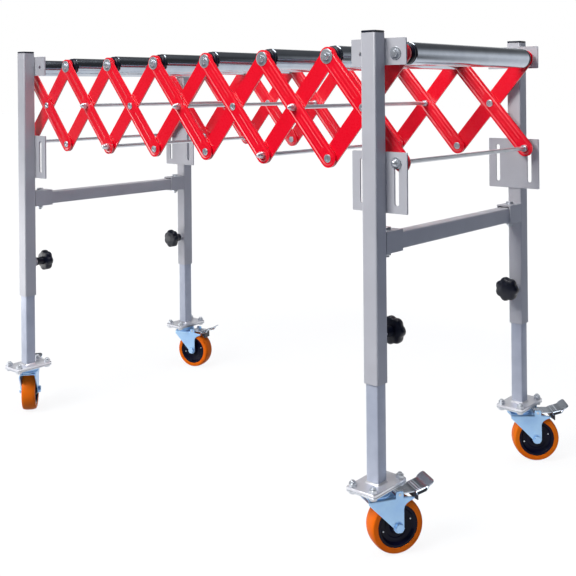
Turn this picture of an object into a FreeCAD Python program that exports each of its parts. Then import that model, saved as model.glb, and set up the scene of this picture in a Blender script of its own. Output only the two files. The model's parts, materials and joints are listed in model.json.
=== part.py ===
"""Expandable roller conveyor table: a scissor bed of rollers on two telescoping leg frames with casters.

X runs along the bed, Y across it and Z up from the floor. Column 0 is the left end of the bed. Each column
has a top joint that carries a roller and a bottom joint below it, and a middle joint lies between columns.
"""
import FreeCAD, Part
import os
import re
import Sketcher
from FreeCAD import Placement, Rotation, Vector

# Driving dimensions in millimetres and degrees, one spreadsheet row each.
DIMENSIONS = {
    # Scissor bed
    "cell_count": 7,
    "column_pitch": 160,
    "bar_pitch": 245,
    "bar_width": 34,
    "bar_thickness": 4,
    "bar_gap": 1.5,
    "bar_edge": 1.4,
    "bead_width": 8,
    "bead_height": 1.3,
    "bead_from_hole": 25,
    "bead_draft": 35,
    "groove_width": 5,
    "lattice_half": 231,
    "axle_height": 849,
    # Pins and fasteners of the bed
    "pin_radius": 4,
    "pin_hole": 4.15,
    "rub_gap": 0.1,
    "seat_gap": 0.3,
    "washer_radius": 9,
    "flange_radius": 13,
    "flange_thickness": 2,
    "head_flats": 14,
    "head_height": 5.5,
    "nut_flats": 13,
    "nut_height": 6,
    "dome_radius": 6,
    "dome_height": 5.2,
    "dome_base": 4.4,
    "dome_shoulder": 0.75,
    "dome_flat": 0.2,
    "rod_nut_base": 6.5,
    "rod_nut_dome": 10.4,
    "spacer_radius": 7,
    "rivet_radius": 7.5,
    "rivet_head": 2,
    "rivet_dome": 5,
    # Rollers
    "roller_radius": 20,
    "roller_wall": 1.5,
    "roller_half": 217,
    "cap_lip": 9,
    "cap_lip_radius": 19,
    "cap_plug": 16,
    "cap_hub_radius": 9,
    "cap_bevel": 3,
    "cap_edge": 2,
    "cap_recess": 1.5,
    "axle_radius": 5,
    "axle_bore": 5.15,
    # End frames
    "leg_line": 260,
    "leg_inset": 36,
    "leg_size": 30,
    "leg_wall": 2,
    "leg_corner": 3,
    "leg_bottom": 290,
    "leg_length": 594,
    "plate_width": 114,
    "plate_thickness": 3,
    "plate_corner": 2,
    "top_plate_height": 46,
    "top_plate_rise": 3,
    "plate_hole": 4.5,
    "slot_plate_height": 104,
    "slot_length": 78,
    "slot_head_room": 0.7,
    "plug_height": 4,
    "plug_depth": 12,
    "plug_gap": 0.1,
    "crossbar_height": 525,
    "crossbar_width": 25,
    "crossbar_depth": 30,
    "crossbar_wall": 2,
    "crossbar_end_gap": 2,
    "sleeve_length": 48,
    "sleeve_wall": 2.5,
    "sleeve_side_gap": 0.5,
    "sleeve_head_room": 2.5,
    "sleeve_bolt_in": 22,
    "bolt_hole": 4.3,
    # Telescoping legs
    "inner_size": 25,
    "inner_wall": 1.5,
    "inner_corner": 2.5,
    "inner_overlap": 250,
    "base_width": 60,
    "base_length": 96,
    "base_thickness": 5,
    "base_corner": 5,
    "base_top": 122,
    "caster_plate": 3,
    "bolt_x": 21,
    "bolt_y": 39,
    "bolt_head_radius": 7,
    "bolt_head_height": 4,
    "bolt_tail": 3.5,
    # Clamp knobs
    "knob_height": 369,
    "boss_flats": 17,
    "boss_height": 8,
    "stud_tip_gap": 0.2,
    "collar_radius": 10,
    "collar_height": 19.7,
    "star_radius": 25,
    "star_core": 18.5,
    "star_lobe": 6.2,
    "star_height": 16,
    "star_count": 7,
    "star_crown": 3,
    # Casters
    "wheel_radius": 48,
    "wheel_width": 32,
    "tyre_inner": 36.5,
    "tyre_shoulder": 44,
    "hub_boss_radius": 12,
    "hub_boss_width": 34,
    "hub_web": 18,
    "hub_rim": 32,
    "hub_draft": 2,
    "hub_recess": 1,
    "trail": 32,
    "fork_inside": 35,
    "fork_sheet": 2.5,
    "fork_front": 22,
    "fork_back": 61,
    "fork_top": 102,
    "fork_crown": 3,
    "fork_foot": 9.5,
    "fork_nose": 92,
    "crown_end": 27,
    "ear_top": 108.5,
    "ear_end": 40,
    "ear_slope": 6,
    "shelf_under": 94,
    "throat": 86,
    "race_radius": 24,
    "race_waist": 20,
    "race_gap": 0.3,
    "king_pin": 6,
    "king_pin_hole": 6.3,
    "king_head_radius": 9,
    "king_head": 4.2,
    "axle_bolt": 5,
    "axle_bolt_hole": 5.1,
    "pedal_pivot_x": 34,
    "pedal_pivot_z": 103,
    "pedal_pin": 2.5,
    "pedal_pin_hole": 2.65,
    "pedal_pin_end": 1,
    "pedal_width": 46,
    "pedal_tongue": 33,
    "pedal_sheet": 2.6,
    "pedal_start": 28,
    "pedal_knee": 62,
    "pedal_bend": 83,
    "pedal_bend_rise": 6,
    "pedal_bend_back": 1,
    "pedal_tip": 98,
    "pedal_tip_rise": 16,
    "pedal_tip_back": 2,
    "pedal_lap": 2,
    "shoe_width": 24,
    "shoe_front": 61,
    "shoe_front_low": 92.2,
    "shoe_back": 72,
    "shoe_back_low": 84.6,
    "overrun": 1,
    # Directions in which the casters trail, measured from +X
    "swivel_near_right": 59,
    "swivel_far_right": 40,
    "swivel_near_left": 140,
    "swivel_far_left": 15,
    # Distance of the bed's centre plane from the middle of the floor footprint
    "bed_offset": -16.31,
}

CELLS = DIMENSIONS["cell_count"]
ROD_MIDDLES = (1, 3, 5)
ROD_BOTTOMS = (2, 5)

# Levels of the bed and frames, as formulas on the sheet
DROP = "sqrt(bar_pitch^2 - column_pitch^2)"
LEAN = "acos(column_pitch / bar_pitch)"
BAR_OUT = "lattice_half"
BAR_MID_OUT = "(lattice_half - bar_thickness)"
BAR_MID_IN = "(lattice_half - bar_thickness - bar_gap)"
BAR_IN = "(lattice_half - 2 * bar_thickness - bar_gap)"
LEG_FACE = "(leg_line - leg_size / 2)"
PLATE_FACE = "(leg_line - leg_size / 2 - plate_thickness)"
LEG_TOP = "(leg_bottom + leg_length)"
SLOT_CENTRE = f"(axle_height - {DROP} + slot_head_room - slot_length / 2 + plate_hole)"
INNER_TOP = "(leg_bottom + inner_overlap)"
CASTER_TOP = "(base_top - base_thickness)"
PLATE_UNDER = "(base_top - base_thickness - caster_plate)"
SLEEVE_FLOOR = "(crossbar_height - crossbar_depth / 2)"
SLEEVE_ROOM = "(crossbar_depth + sleeve_head_room)"
Y_AXIS = Vector(0, 1, 0)
Z_AXIS = Vector(0, 0, 1)

doc = FreeCAD.newDocument("roller_conveyor_table")
sheet = doc.addObject("Spreadsheet::Sheet", "dims")
for row, (alias, number) in enumerate(DIMENSIONS.items(), start=1):
    sheet.set(f"A{row}", alias)
    sheet.set(f"B{row}", str(number))
    sheet.setAlias(f"B{row}", alias)
doc.recompute()
nodes = []


def value(formula):
    """Number that a formula on the sheet's aliases gives now."""
    result = sheet.evalExpression(formula)
    return float(getattr(result, "Value", result))


def bind(thing, prop, formula):
    """Tie a property to the sheet: each alias in the formula becomes a reference to its cell."""
    words = r"[a-z_]+"
    linked = re.sub(words, lambda found: "dims." * (found[0] in DIMENSIONS) + found[0], formula)
    thing.setExpression(prop, linked)


# Sketch helpers

def new_body(label):
    return doc.addObject("PartDesign::Body", label)


def attach(feature, body, role, offset):
    """Lay a feature on one of its body's own planes, raised along the plane's normal."""
    plane = next(item for item in body.Origin.OriginFeatures if item.Role == role)
    feature.AttachmentSupport = (plane, [""])
    feature.MapMode = "FlatFace"
    bind(feature, "AttachmentOffset.Base.z", offset)


def new_sketch(body, label, role, offset="0"):
    sketch = body.newObject("Sketcher::SketchObject", label)
    attach(sketch, body, role, offset)
    return sketch


def constrain(sketch, kind, formula, *references):
    index = sketch.addConstraint(Sketcher.Constraint(kind, *references, value(formula)))
    bind(sketch, f"Constraints[{index}]", formula)


def fix_point(sketch, geometry, end, x, y):
    """Hold one point of a sketch at (x, y), on the axis itself where a coordinate is 0."""
    for kind, formula, axis in (("DistanceX", x, -2), ("DistanceY", y, -1)):
        if abs(value(formula)) < 1e-9:
            sketch.addConstraint(Sketcher.Constraint("PointOnObject", geometry, end, axis))
        else:
            constrain(sketch, kind, formula, -1, 1, geometry, end)


def draw_circle(sketch, x, y, radius):
    circle = Part.Circle(Vector(value(x), value(y), 0), Z_AXIS, value(radius))
    index = sketch.addGeometry(circle, False)
    constrain(sketch, "Radius", radius, index)
    fix_point(sketch, index, 3, x, y)


def draw_outline(sketch, points):
    """Closed outline. A point (x, y) ends a line, and (x, y, mid_x, mid_y) ends an arc through the middle."""
    corners = [Vector(value(point[0]), value(point[1]), 0) for point in points]
    first = sketch.GeometryCount
    for index, point in enumerate(points):
        start = corners[index - 1]
        end = corners[index]
        if len(point) == 4:
            middle = Vector(value(point[2]), value(point[3]), 0)
            edge = Part.Arc(start, middle, end)
            sketch.addGeometry(edge, False)
        else:
            sketch.addGeometry(Part.LineSegment(start, end), False)
    ends = []
    for index in range(len(points)):
        starts_there = sketch.getPoint(first + index, 1).isEqual(corners[index - 1], 1e-6)
        ends.append((1, 2) if starts_there else (2, 1))
    for index, point in enumerate(points):
        following = (index + 1) % len(points)
        here = (first + index, ends[index][1])
        there = (first + following, ends[following][0])
        sketch.addConstraint(Sketcher.Constraint("Coincident", *here, *there))
        fix_point(sketch, *here, point[0], point[1])


def draw_round_box(sketch, width, height, radius, x="0", y="0"):
    """Rectangle with round corners, centred on (x, y): the four corner centres and the radius hold it."""
    first = sketch.GeometryCount
    half_w = f"({width}) / 2 - ({radius})"
    half_h = f"({height}) / 2 - ({radius})"
    signs = ((1, 1), (-1, 1), (-1, -1), (1, -1))
    centres = [(f"({x}) + ({sx}) * ({half_w})", f"({y}) + ({sy}) * ({half_h})") for sx, sy in signs]
    turn = Rotation(Z_AXIS, 90)
    reach = Vector(value(radius), 0, 0)
    arcs = []
    for cx, cy in centres:
        middle = Vector(value(cx), value(cy), 0)
        after = turn.multVec(reach)
        between = Rotation(Z_AXIS, 45).multVec(reach)
        arcs.append((middle + reach, middle + between, middle + after))
        reach = after
    for start, between, end in arcs:
        sketch.addGeometry(Part.Arc(start, between, end), False)
    for index in range(4):
        sketch.addGeometry(Part.LineSegment(arcs[index][2], arcs[(index + 1) % 4][0]), False)
    for index in range(4):
        following = first + (index + 1) % 4
        line = first + 4 + index
        sketch.addConstraint(Sketcher.Constraint("Tangent", first + index, 2, line, 1))
        sketch.addConstraint(Sketcher.Constraint("Tangent", line, 2, following, 1))
        fix_point(sketch, first + index, 3, *centres[index])
    constrain(sketch, "Radius", radius, first)


def draw_slot(sketch, x, y, half_x, half_y, radius):
    """Slot with round ends whose end centres stand at (x, y) plus and minus (half_x, half_y)."""
    first = sketch.GeometryCount
    along = Vector(value(half_x), value(half_y), 0)
    across = Rotation(Z_AXIS, 90).multVec(Vector(along).normalize() * value(radius))
    cap = Rotation(Z_AXIS, -90).multVec(across)
    middle = Vector(value(x), value(y), 0)
    far = middle + along
    near = middle - along
    sketch.addGeometry(Part.Arc(far - across, far + cap, far + across), False)
    sketch.addGeometry(Part.Arc(near + across, near - cap, near - across), False)
    sketch.addGeometry(Part.LineSegment(far + across, near + across), False)
    sketch.addGeometry(Part.LineSegment(near - across, far - across), False)
    for one, one_end, two, two_end in ((0, 2, 2, 1), (2, 2, 1, 1), (1, 2, 3, 1), (3, 2, 0, 1)):
        sketch.addConstraint(Sketcher.Constraint("Tangent", first + one, one_end, first + two, two_end))
    sketch.addConstraint(Sketcher.Constraint("Equal", first, first + 1))
    constrain(sketch, "Radius", radius, first)
    fix_point(sketch, first, 3, f"({x}) + ({half_x})", f"({y}) + ({half_y})")
    fix_point(sketch, first + 1, 3, f"({x}) - ({half_x})", f"({y}) - ({half_y})")


def hexagon(flats):
    """Corner formulas of a hexagon with the given width across flats."""
    point = f"({flats}) / sqrt(3)"
    side = f"({flats}) / 2"
    return [
        (point, "0"),
        (f"{point} / 2", side),
        (f"-{point} / 2", side),
        (f"-{point}", "0"),
        (f"-{point} / 2", f"-{side}"),
        (f"{point} / 2", f"-{side}"),
    ]


# Feature helpers

def pad(body, sketch, length, reverse=False):
    feature = body.newObject("PartDesign::Pad", sketch.Name + "_pad")
    feature.Profile = sketch
    feature.Reversed = reverse
    bind(feature, "Length", length)
    sketch.Visibility = False
    return feature


def revolve(body, sketch):
    """Turn a sketch on the XY plane about its vertical axis, which is the body's Y axis."""
    feature = body.newObject("PartDesign::Revolution", sketch.Name + "_turned")
    feature.Profile = sketch
    feature.ReferenceAxis = (sketch, ["V_Axis"])
    feature.Angle = 360
    return feature


def cut_bore(body, label, role, x, y, offset, radius, depth):
    """Round hole square to one of the body's planes, from the offset along the plane's normal."""
    feature = body.newObject("PartDesign::SubtractiveCylinder", label)
    attach(feature, body, role, offset)
    bind(feature, "AttachmentOffset.Base.x", x)
    bind(feature, "AttachmentOffset.Base.y", y)
    bind(feature, "Radius", radius)
    bind(feature, "Height", depth)
    return feature


def add_block(body, kind, label, low, high):
    """Box between two corners, added to or cut from a body."""
    feature = body.newObject(kind, label)
    attach(feature, body, "XY_Plane", low[2])
    bind(feature, "AttachmentOffset.Base.x", low[0])
    bind(feature, "AttachmentOffset.Base.y", low[1])
    for prop, start, end in zip(("Length", "Width", "Height"), low, high):
        bind(feature, prop, f"({end}) - ({start})")
    return feature


# Placing and grouping

def link_to(master, x, y, z="0", axis=Z_AXIS, angle="0"):
    """Another copy of a piece at its place on the table, turned about one axis."""
    link = doc.addObject("App::Link", master.Name + "_copy")
    link.LinkedObject = master
    link.Placement = Placement(Vector(), Rotation(axis, value(angle)))
    for name, formula in (("x", x), ("y", y), ("z", z)):
        bind(link, f"Placement.Base.{name}", formula)
    if abs(value(angle)) > 1e-9:
        bind(link, "Placement.Rotation.Angle", angle)
    return link


def add_node(label, links):
    """One node of the table: the pieces that share a name and move as one."""
    compound = doc.addObject("Part::Compound", label)
    compound.Label = label
    compound.Links = links
    bind(compound, "Placement.Base.y", "bed_offset")
    nodes.append(compound)


# Scissor bed

def make_bar(label, faces_near):
    """Pressed bar with three pivot holes: back on the XZ plane, front with the beads towards -Y or +Y."""
    body = new_body(label)
    sketch = new_sketch(body, label + "_outline", "XZ_Plane")
    draw_slot(sketch, "0", "0", "bar_pitch / 2", "0", "bar_width / 2")
    for hole in ("-bar_pitch / 2", "0", "bar_pitch / 2"):
        draw_circle(sketch, hole, "0", "pin_hole")
    strip = pad(body, sketch, "bar_thickness", reverse=not faces_near)
    doc.recompute()
    front = -value("bar_thickness") if faces_near else value("bar_thickness")
    rim = []
    for index, edge in enumerate(strip.Shape.Edges, start=1):
        ends_on_front = all(abs(vertex.Point.y - front) < 1e-6 for vertex in edge.Vertexes)
        if ends_on_front and edge.Length > value("bar_width"):
            rim.append(f"Edge{index}")
    edge_break = body.newObject("PartDesign::Chamfer", label + "_rim")
    edge_break.Base = (strip, rim)
    bind(edge_break, "Size", "bar_edge")
    bead_centre = "bar_pitch / 4"
    bead_half = "bar_pitch / 4 - bead_from_hole"
    front_offset = "bar_thickness" if faces_near else "-bar_thickness"
    beads = new_sketch(body, label + "_beads", "XZ_Plane", front_offset)
    grooves = new_sketch(body, label + "_grooves", "XZ_Plane")
    for side in (1, -1):
        draw_slot(beads, f"{side} * {bead_centre}", "0", bead_half, "0", "bead_width / 2")
        draw_slot(grooves, f"{side} * {bead_centre}", "0", bead_half, "0", "groove_width / 2")
    raised = pad(body, beads, "bead_height", reverse=not faces_near)
    bind(raised, "TaperAngle", "-bead_draft")
    pocket = body.newObject("PartDesign::Pocket", label + "_pressed")
    pocket.Profile = grooves
    pocket.Reversed = faces_near
    bind(pocket, "Length", "bead_height")
    return body


def stepped_outline(steps):
    """Outline of a turned pin from its (radius, from, to) steps along Y."""
    points = [("0", steps[0][1])]
    for index, (radius, start, end) in enumerate(steps):
        if index == 0 or steps[index - 1][0] != radius:
            points.append((radius, start))
        if index == len(steps) - 1 or steps[index + 1][0] != radius:
            points.append((radius, end))
    points.append(("0", steps[-1][2]))
    return points


def mirrored(steps):
    return [(radius, f"-({end})", f"-({start})") for radius, start, end in reversed(steps)]


def make_pin(label, steps, hexes):
    """Turned pin along Y with hexagons, each given by its width across flats, near level and far level."""
    body = new_body(label)
    sketch = new_sketch(body, label + "_steps", "XY_Plane")
    draw_outline(sketch, stepped_outline(steps))
    revolve(body, sketch)
    for index, (flats, start, end) in enumerate(hexes):
        head = new_sketch(body, f"{label}_hex_{index}", "XZ_Plane", f"-({end})")
        draw_outline(head, hexagon(flats))
        pad(body, head, f"({end}) - ({start})")
    return body


def make_domes(body, label, levels, height):
    """Round crowns of dome nuts: half-lens profiles turned about Y, each at a level and facing out."""
    for index, level in enumerate(levels):
        out = "1" if value(level) > 0 else "-1"
        sketch = new_sketch(body, f"{label}_dome_{index}", "XY_Plane")
        tip = f"({level}) + ({out}) * {height}"
        knee = f"({level}) + ({out}) * dome_shoulder * {height}"
        crown = ("dome_radius * dome_flat", tip, "dome_radius * dome_shoulder", knee)
        outline = [("0", level), ("dome_radius", level), crown, ("0", tip)]
        draw_outline(sketch, outline)
        revolve(body, sketch)


def make_roller_axle():
    """Axle of a roller between two bars on each side, with a flange washer and a hex head at both ends."""
    flange = f"{BAR_OUT} + rub_gap"
    half = [
        ("axle_radius", "0", "roller_half + seat_gap"),
        ("spacer_radius", "roller_half + seat_gap", f"{BAR_IN} - seat_gap"),
        ("pin_radius", f"{BAR_IN} - seat_gap", f"{BAR_MID_IN} + rub_gap"),
        ("washer_radius", f"{BAR_MID_IN} + rub_gap", f"{BAR_MID_OUT} - rub_gap"),
        ("pin_radius", f"{BAR_MID_OUT} - rub_gap", flange),
        ("flange_radius", flange, f"{flange} + flange_thickness"),
    ]
    top = f"{flange} + flange_thickness"
    heads = [("head_flats", top, f"{top} + head_height")]
    return make_pin("roller_axle", mirrored(half) + half, mirrored(heads) + heads)


def end_steps(shaft, shoulder, bar_in, bar_out, plate_gap):
    """One half of an end pin: shaft, shoulder up to its bar, spacer up to the plate, washer outside it."""
    washer = f"{LEG_FACE} + {plate_gap}"
    return [
        (shaft, "0", shoulder),
        ("spacer_radius", shoulder, f"{bar_in} - rub_gap"),
        ("pin_radius", f"{bar_in} - rub_gap", f"{bar_out} + rub_gap"),
        ("spacer_radius", f"{bar_out} + rub_gap", f"{PLATE_FACE} - {plate_gap}"),
        ("pin_radius", f"{PLATE_FACE} - {plate_gap}", washer),
        ("flange_radius", washer, f"{washer} + flange_thickness"),
    ]


def make_end_axle(label, near_bar, far_bar, plate_gap):
    """Axle of an end roller: one bar on each side and the leg's top plate outside it."""
    shoulder = "roller_half + seat_gap"
    near = mirrored(end_steps("axle_radius", shoulder, *near_bar, plate_gap))
    far = end_steps("axle_radius", shoulder, *far_bar, plate_gap)
    top = f"{LEG_FACE} + {plate_gap} + flange_thickness"
    heads = [("head_flats", top, f"{top} + head_height")]
    return make_pin(label, near + far, mirrored(heads) + heads)


def make_cross_rod():
    """Rod across the bed at an inner joint: a nut inside and a tall dome nut outside each pair of bars."""
    nut = f"{BAR_OUT} + rub_gap"
    half = [
        ("pin_radius", "0", f"{BAR_MID_IN} + rub_gap"),
        ("washer_radius", f"{BAR_MID_IN} + rub_gap", f"{BAR_MID_OUT} - rub_gap"),
        ("pin_radius", f"{BAR_MID_OUT} - rub_gap", nut),
        ("dome_radius", nut, f"{nut} + rod_nut_base"),
    ]
    nuts = [
        ("nut_flats", f"{BAR_IN} - rub_gap - nut_height", f"{BAR_IN} - rub_gap"),
        ("nut_flats", nut, f"{nut} + rod_nut_base"),
    ]
    body = make_pin("cross_rod", mirrored(half) + half, mirrored(nuts) + nuts)
    level = f"{nut} + rod_nut_base"
    make_domes(body, "cross_rod", [f"-({level})", level], "rod_nut_dome")
    return body


def make_slot_rod(label, near_bar, far_bar):
    """Rod at an end of the bed: it joins one bar on each side and slides in the slots of the leg plates."""
    gap = "seat_gap"
    halves = []
    nuts = []
    for bar_in, bar_out in (near_bar, far_bar):
        steps = end_steps("pin_radius", f"{bar_in} - rub_gap - nut_height", bar_in, bar_out, gap)
        top = f"{LEG_FACE} + {gap} + flange_thickness"
        halves.append(steps + [("dome_radius", top, f"{top} + dome_base")])
        nuts.append([("nut_flats", top, f"{top} + dome_base")])
    body = make_pin(label, mirrored(halves[0]) + halves[1], mirrored(nuts[0]) + nuts[1])
    level = f"{LEG_FACE} + {gap} + flange_thickness + dome_base"
    make_domes(body, label, [f"-({level})", level], "dome_height")
    return body


def make_rivet():
    """Rivet of one pair of bars on the near side, with a washer between the bars and a head on both faces."""
    body = new_body("bar_rivet")
    sketch = new_sketch(body, "bar_rivet_steps", "XY_Plane")
    low = f"-({BAR_OUT} + rub_gap)"
    high = f"-({BAR_IN} - rub_gap)"
    shaft = [
        ("pin_radius", low, f"-({BAR_MID_OUT} - rub_gap)"),
        ("washer_radius", f"-({BAR_MID_OUT} - rub_gap)", f"-({BAR_MID_IN} + rub_gap)"),
        ("pin_radius", f"-({BAR_MID_IN} + rub_gap)", high),
    ]
    heads = [("rivet_dome", f"{low} - rivet_head"), ("rivet_radius", low)]
    tail = [("rivet_radius", high), ("rivet_dome", f"{high} + rivet_head"), ("0", f"{high} + rivet_head")]
    points = [("0", f"{low} - rivet_head")] + heads + stepped_outline(shaft)[1:-1] + tail
    draw_outline(sketch, points)
    revolve(body, sketch)
    return body


def make_roller_tube():
    body = new_body("roller_tube")
    sketch = new_sketch(body, "roller_tube_wall", "XY_Plane")
    end = "(roller_half - cap_lip)"
    inside = "roller_radius - roller_wall"
    outside = "roller_radius"
    draw_outline(sketch, [(inside, f"-{end}"), (outside, f"-{end}"), (outside, end), (inside, end)])
    revolve(body, sketch)
    return body


def make_roller_cap():
    """End cap on the +Y end of a roller: a plug in the tube, a stepped lip outside it and a bearing hub."""
    body = new_body("roller_cap")
    sketch = new_sketch(body, "roller_cap_profile", "XY_Plane")
    face = "roller_half"
    seat = "(roller_half - cap_lip)"
    plug = "roller_radius - roller_wall"
    bottom = f"{seat} - cap_plug"
    outline = [
        ("axle_bore", bottom),
        (plug, bottom),
        (plug, seat),
        ("cap_lip_radius", seat),
        ("cap_lip_radius", f"{face} - cap_edge"),
        ("cap_lip_radius - cap_bevel", face),
        ("cap_hub_radius + cap_bevel", face),
        ("cap_hub_radius", f"{face} - cap_recess"),
        ("axle_bore", f"{face} - cap_recess"),
    ]
    draw_outline(sketch, outline)
    revolve(body, sketch)
    return body


# End frames

def make_leg_tube():
    body = new_body("leg_tube")
    sketch = new_sketch(body, "leg_section", "XY_Plane", "leg_bottom")
    draw_round_box(sketch, "leg_size", "leg_size", "leg_corner")
    draw_round_box(sketch, "leg_size - 2 * leg_wall", "leg_size - 2 * leg_wall", "leg_corner - leg_wall")
    pad(body, sketch, "leg_length")
    depth = "leg_wall + 2 * overrun"
    cut_bore(body, "stud_hole", "XZ_Plane", "0", "knob_height", "-leg_size / 2 - overrun", "bolt_hole", depth)
    return body


def make_top_plate():
    """Plate on the leg's inner face with two holes: the outer holds the end axle, the inner is spare."""
    body = new_body("top_plate")
    offset = "-(leg_size / 2 + plate_thickness)"
    sketch = new_sketch(body, "top_plate_outline", "XZ_Plane", offset)
    middle = "axle_height + top_plate_rise"
    draw_round_box(sketch, "plate_width", "top_plate_height", "plate_corner", "0", middle)
    for side in (1, -1):
        draw_circle(sketch, f"{side} * leg_inset", "axle_height", "plate_hole")
    pad(body, sketch, "plate_thickness")
    return body


def make_slot_plate():
    """Plate below the top plate with two upright slots: the bed's end rod slides in the outer one."""
    body = new_body("slot_plate")
    offset = "-(leg_size / 2 + plate_thickness)"
    sketch = new_sketch(body, "slot_plate_outline", "XZ_Plane", offset)
    draw_round_box(sketch, "plate_width", "slot_plate_height", "plate_corner", "0", SLOT_CENTRE)
    for side in (1, -1):
        half = "slot_length / 2 - plate_hole"
        draw_slot(sketch, f"{side} * leg_inset", SLOT_CENTRE, "0", half, "plate_hole")
    pad(body, sketch, "plate_thickness")
    return body


def make_sleeve():
    """Square sleeve on the leg's inner face, which takes the crossbar's end and its upright bolt."""
    body = new_body("crossbar_sleeve")
    half_in = "(crossbar_width / 2 + sleeve_side_gap)"
    half_out = f"({half_in} + sleeve_wall)"
    face = "leg_size / 2"
    end = "leg_size / 2 + sleeve_length"
    ceiling = f"{SLEEVE_FLOOR} + {SLEEVE_ROOM}"
    low = (f"-{half_out}", face, f"{SLEEVE_FLOOR} - sleeve_wall")
    high = (half_out, end, f"{ceiling} + sleeve_wall")
    add_block(body, "PartDesign::AdditiveBox", "sleeve_block", low, high)
    low = (f"-{half_in}", f"{face} - overrun", SLEEVE_FLOOR)
    high = (half_in, f"{end} + overrun", ceiling)
    add_block(body, "PartDesign::SubtractiveBox", "sleeve_room", low, high)
    start = f"{SLEEVE_FLOOR} - sleeve_wall - overrun"
    depth = f"{SLEEVE_ROOM} + 2 * (sleeve_wall + overrun)"
    bolt_y = "leg_size / 2 + sleeve_bolt_in"
    cut_bore(body, "sleeve_bolt_hole", "XY_Plane", "0", bolt_y, start, "bolt_hole", depth)
    return body


def make_knob_boss():
    body = new_body("knob_boss")
    sketch = new_sketch(body, "knob_boss_outline", "XZ_Plane", "-(leg_size / 2 + boss_height)")
    draw_outline(sketch, [(x, f"knob_height + {z}") for x, z in hexagon("boss_flats")])
    draw_circle(sketch, "0", "knob_height", "bolt_hole")
    pad(body, sketch, "boss_height")
    return body


def make_leg_plug():
    """Push-in plug: a flat head as wide as the leg and a stub inside its wall."""
    body = new_body("leg_plug")
    head = new_sketch(body, "leg_plug_head", "XY_Plane", LEG_TOP)
    draw_round_box(head, "leg_size", "leg_size", "leg_corner")
    pad(body, head, "plug_height")
    stub = new_sketch(body, "leg_plug_stub", "XY_Plane", LEG_TOP)
    inside = "leg_size - 2 * leg_wall - 2 * plug_gap"
    draw_round_box(stub, inside, inside, "leg_corner - leg_wall")
    pad(body, stub, "plug_depth", reverse=True)
    return body


def make_crossbar():
    body = new_body("crossbar")
    end = f"({LEG_FACE} - crossbar_end_gap)"
    sketch = new_sketch(body, "crossbar_section", "XZ_Plane", f"-{end}")
    middle = "crossbar_height"
    draw_round_box(sketch, "crossbar_width", "crossbar_depth", "inner_corner", "0", middle)
    inner_width = "crossbar_width - 2 * crossbar_wall"
    inner_depth = "crossbar_depth - 2 * crossbar_wall"
    draw_round_box(sketch, inner_width, inner_depth, "inner_corner - inner_wall", "0", middle)
    pad(body, sketch, f"2 * {end}")
    for side in (1, -1):
        bolt_y = f"{side} * ({LEG_FACE} - sleeve_bolt_in)"
        label = "crossbar_far_hole" if side > 0 else "crossbar_near_hole"
        start = f"{SLEEVE_FLOOR} - overrun"
        cut_bore(body, label, "XY_Plane", "0", bolt_y, start, "bolt_hole", "crossbar_depth + 2 * overrun")
    return body


def make_crossbar_bolt():
    """Upright bolt through sleeve and crossbar: hex head above, nut below."""
    body = new_body("crossbar_bolt")
    top = f"{SLEEVE_FLOOR} + {SLEEVE_ROOM} + sleeve_wall"
    bottom = f"{SLEEVE_FLOOR} - sleeve_wall"
    shank = new_sketch(body, "crossbar_bolt_shank", "XY_Plane", f"{bottom} - nut_height - bolt_tail")
    draw_circle(shank, "0", "0", "pin_radius")
    pad(body, shank, f"({top}) - ({bottom}) + nut_height + bolt_tail")
    head = new_sketch(body, "crossbar_bolt_head", "XY_Plane", top)
    draw_outline(head, hexagon("head_flats"))
    pad(body, head, "head_height")
    nut = new_sketch(body, "crossbar_bolt_nut", "XY_Plane", f"{bottom} - nut_height")
    draw_outline(nut, hexagon("nut_flats"))
    pad(body, nut, "nut_height")
    return body


# Telescoping legs and knobs

def make_inner_tube():
    body = new_body("inner_tube")
    section = new_sketch(body, "inner_section", "XY_Plane", "base_top")
    draw_round_box(section, "inner_size", "inner_size", "inner_corner")
    hollow = "inner_size - 2 * inner_wall"
    draw_round_box(section, hollow, hollow, "inner_corner - inner_wall")
    pad(body, section, f"{INNER_TOP} - base_top")
    return body


def draw_bolted_plate(sketch):
    """Round-cornered plate with four bolt holes, shared by the base plate and the caster's top plate."""
    draw_round_box(sketch, "base_width", "base_length", "base_corner")
    for side in (1, -1):
        for end in (1, -1):
            draw_circle(sketch, f"{side} * bolt_x", f"{end} * bolt_y", "bolt_hole")


def make_base_plate():
    """Plate under the inner tube, which the caster is bolted to."""
    body = new_body("base_plate")
    plate = new_sketch(body, "base_plate_outline", "XY_Plane", CASTER_TOP)
    draw_bolted_plate(plate)
    pad(body, plate, "base_thickness")
    return body


def make_caster_plate():
    body = new_body("caster_top_plate")
    plate = new_sketch(body, "caster_plate_outline", "XY_Plane", PLATE_UNDER)
    draw_bolted_plate(plate)
    pad(body, plate, "caster_plate")
    return body


def make_king_pin():
    """Pin under the caster's top plate, whose head holds the fork up from below its crown."""
    body = new_body("king_pin_blank")
    head = "(fork_top - fork_crown - race_gap)"
    profile = [
        ("0", f"{head} - king_head"),
        ("king_head_radius", f"{head} - king_head"),
        ("king_head_radius", head),
        ("king_pin", head),
        ("king_pin", PLATE_UNDER),
        ("0", PLATE_UNDER),
    ]
    pin = new_sketch(body, "king_pin_profile", "XZ_Plane")
    draw_outline(pin, profile)
    revolve(body, pin)
    return body


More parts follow.
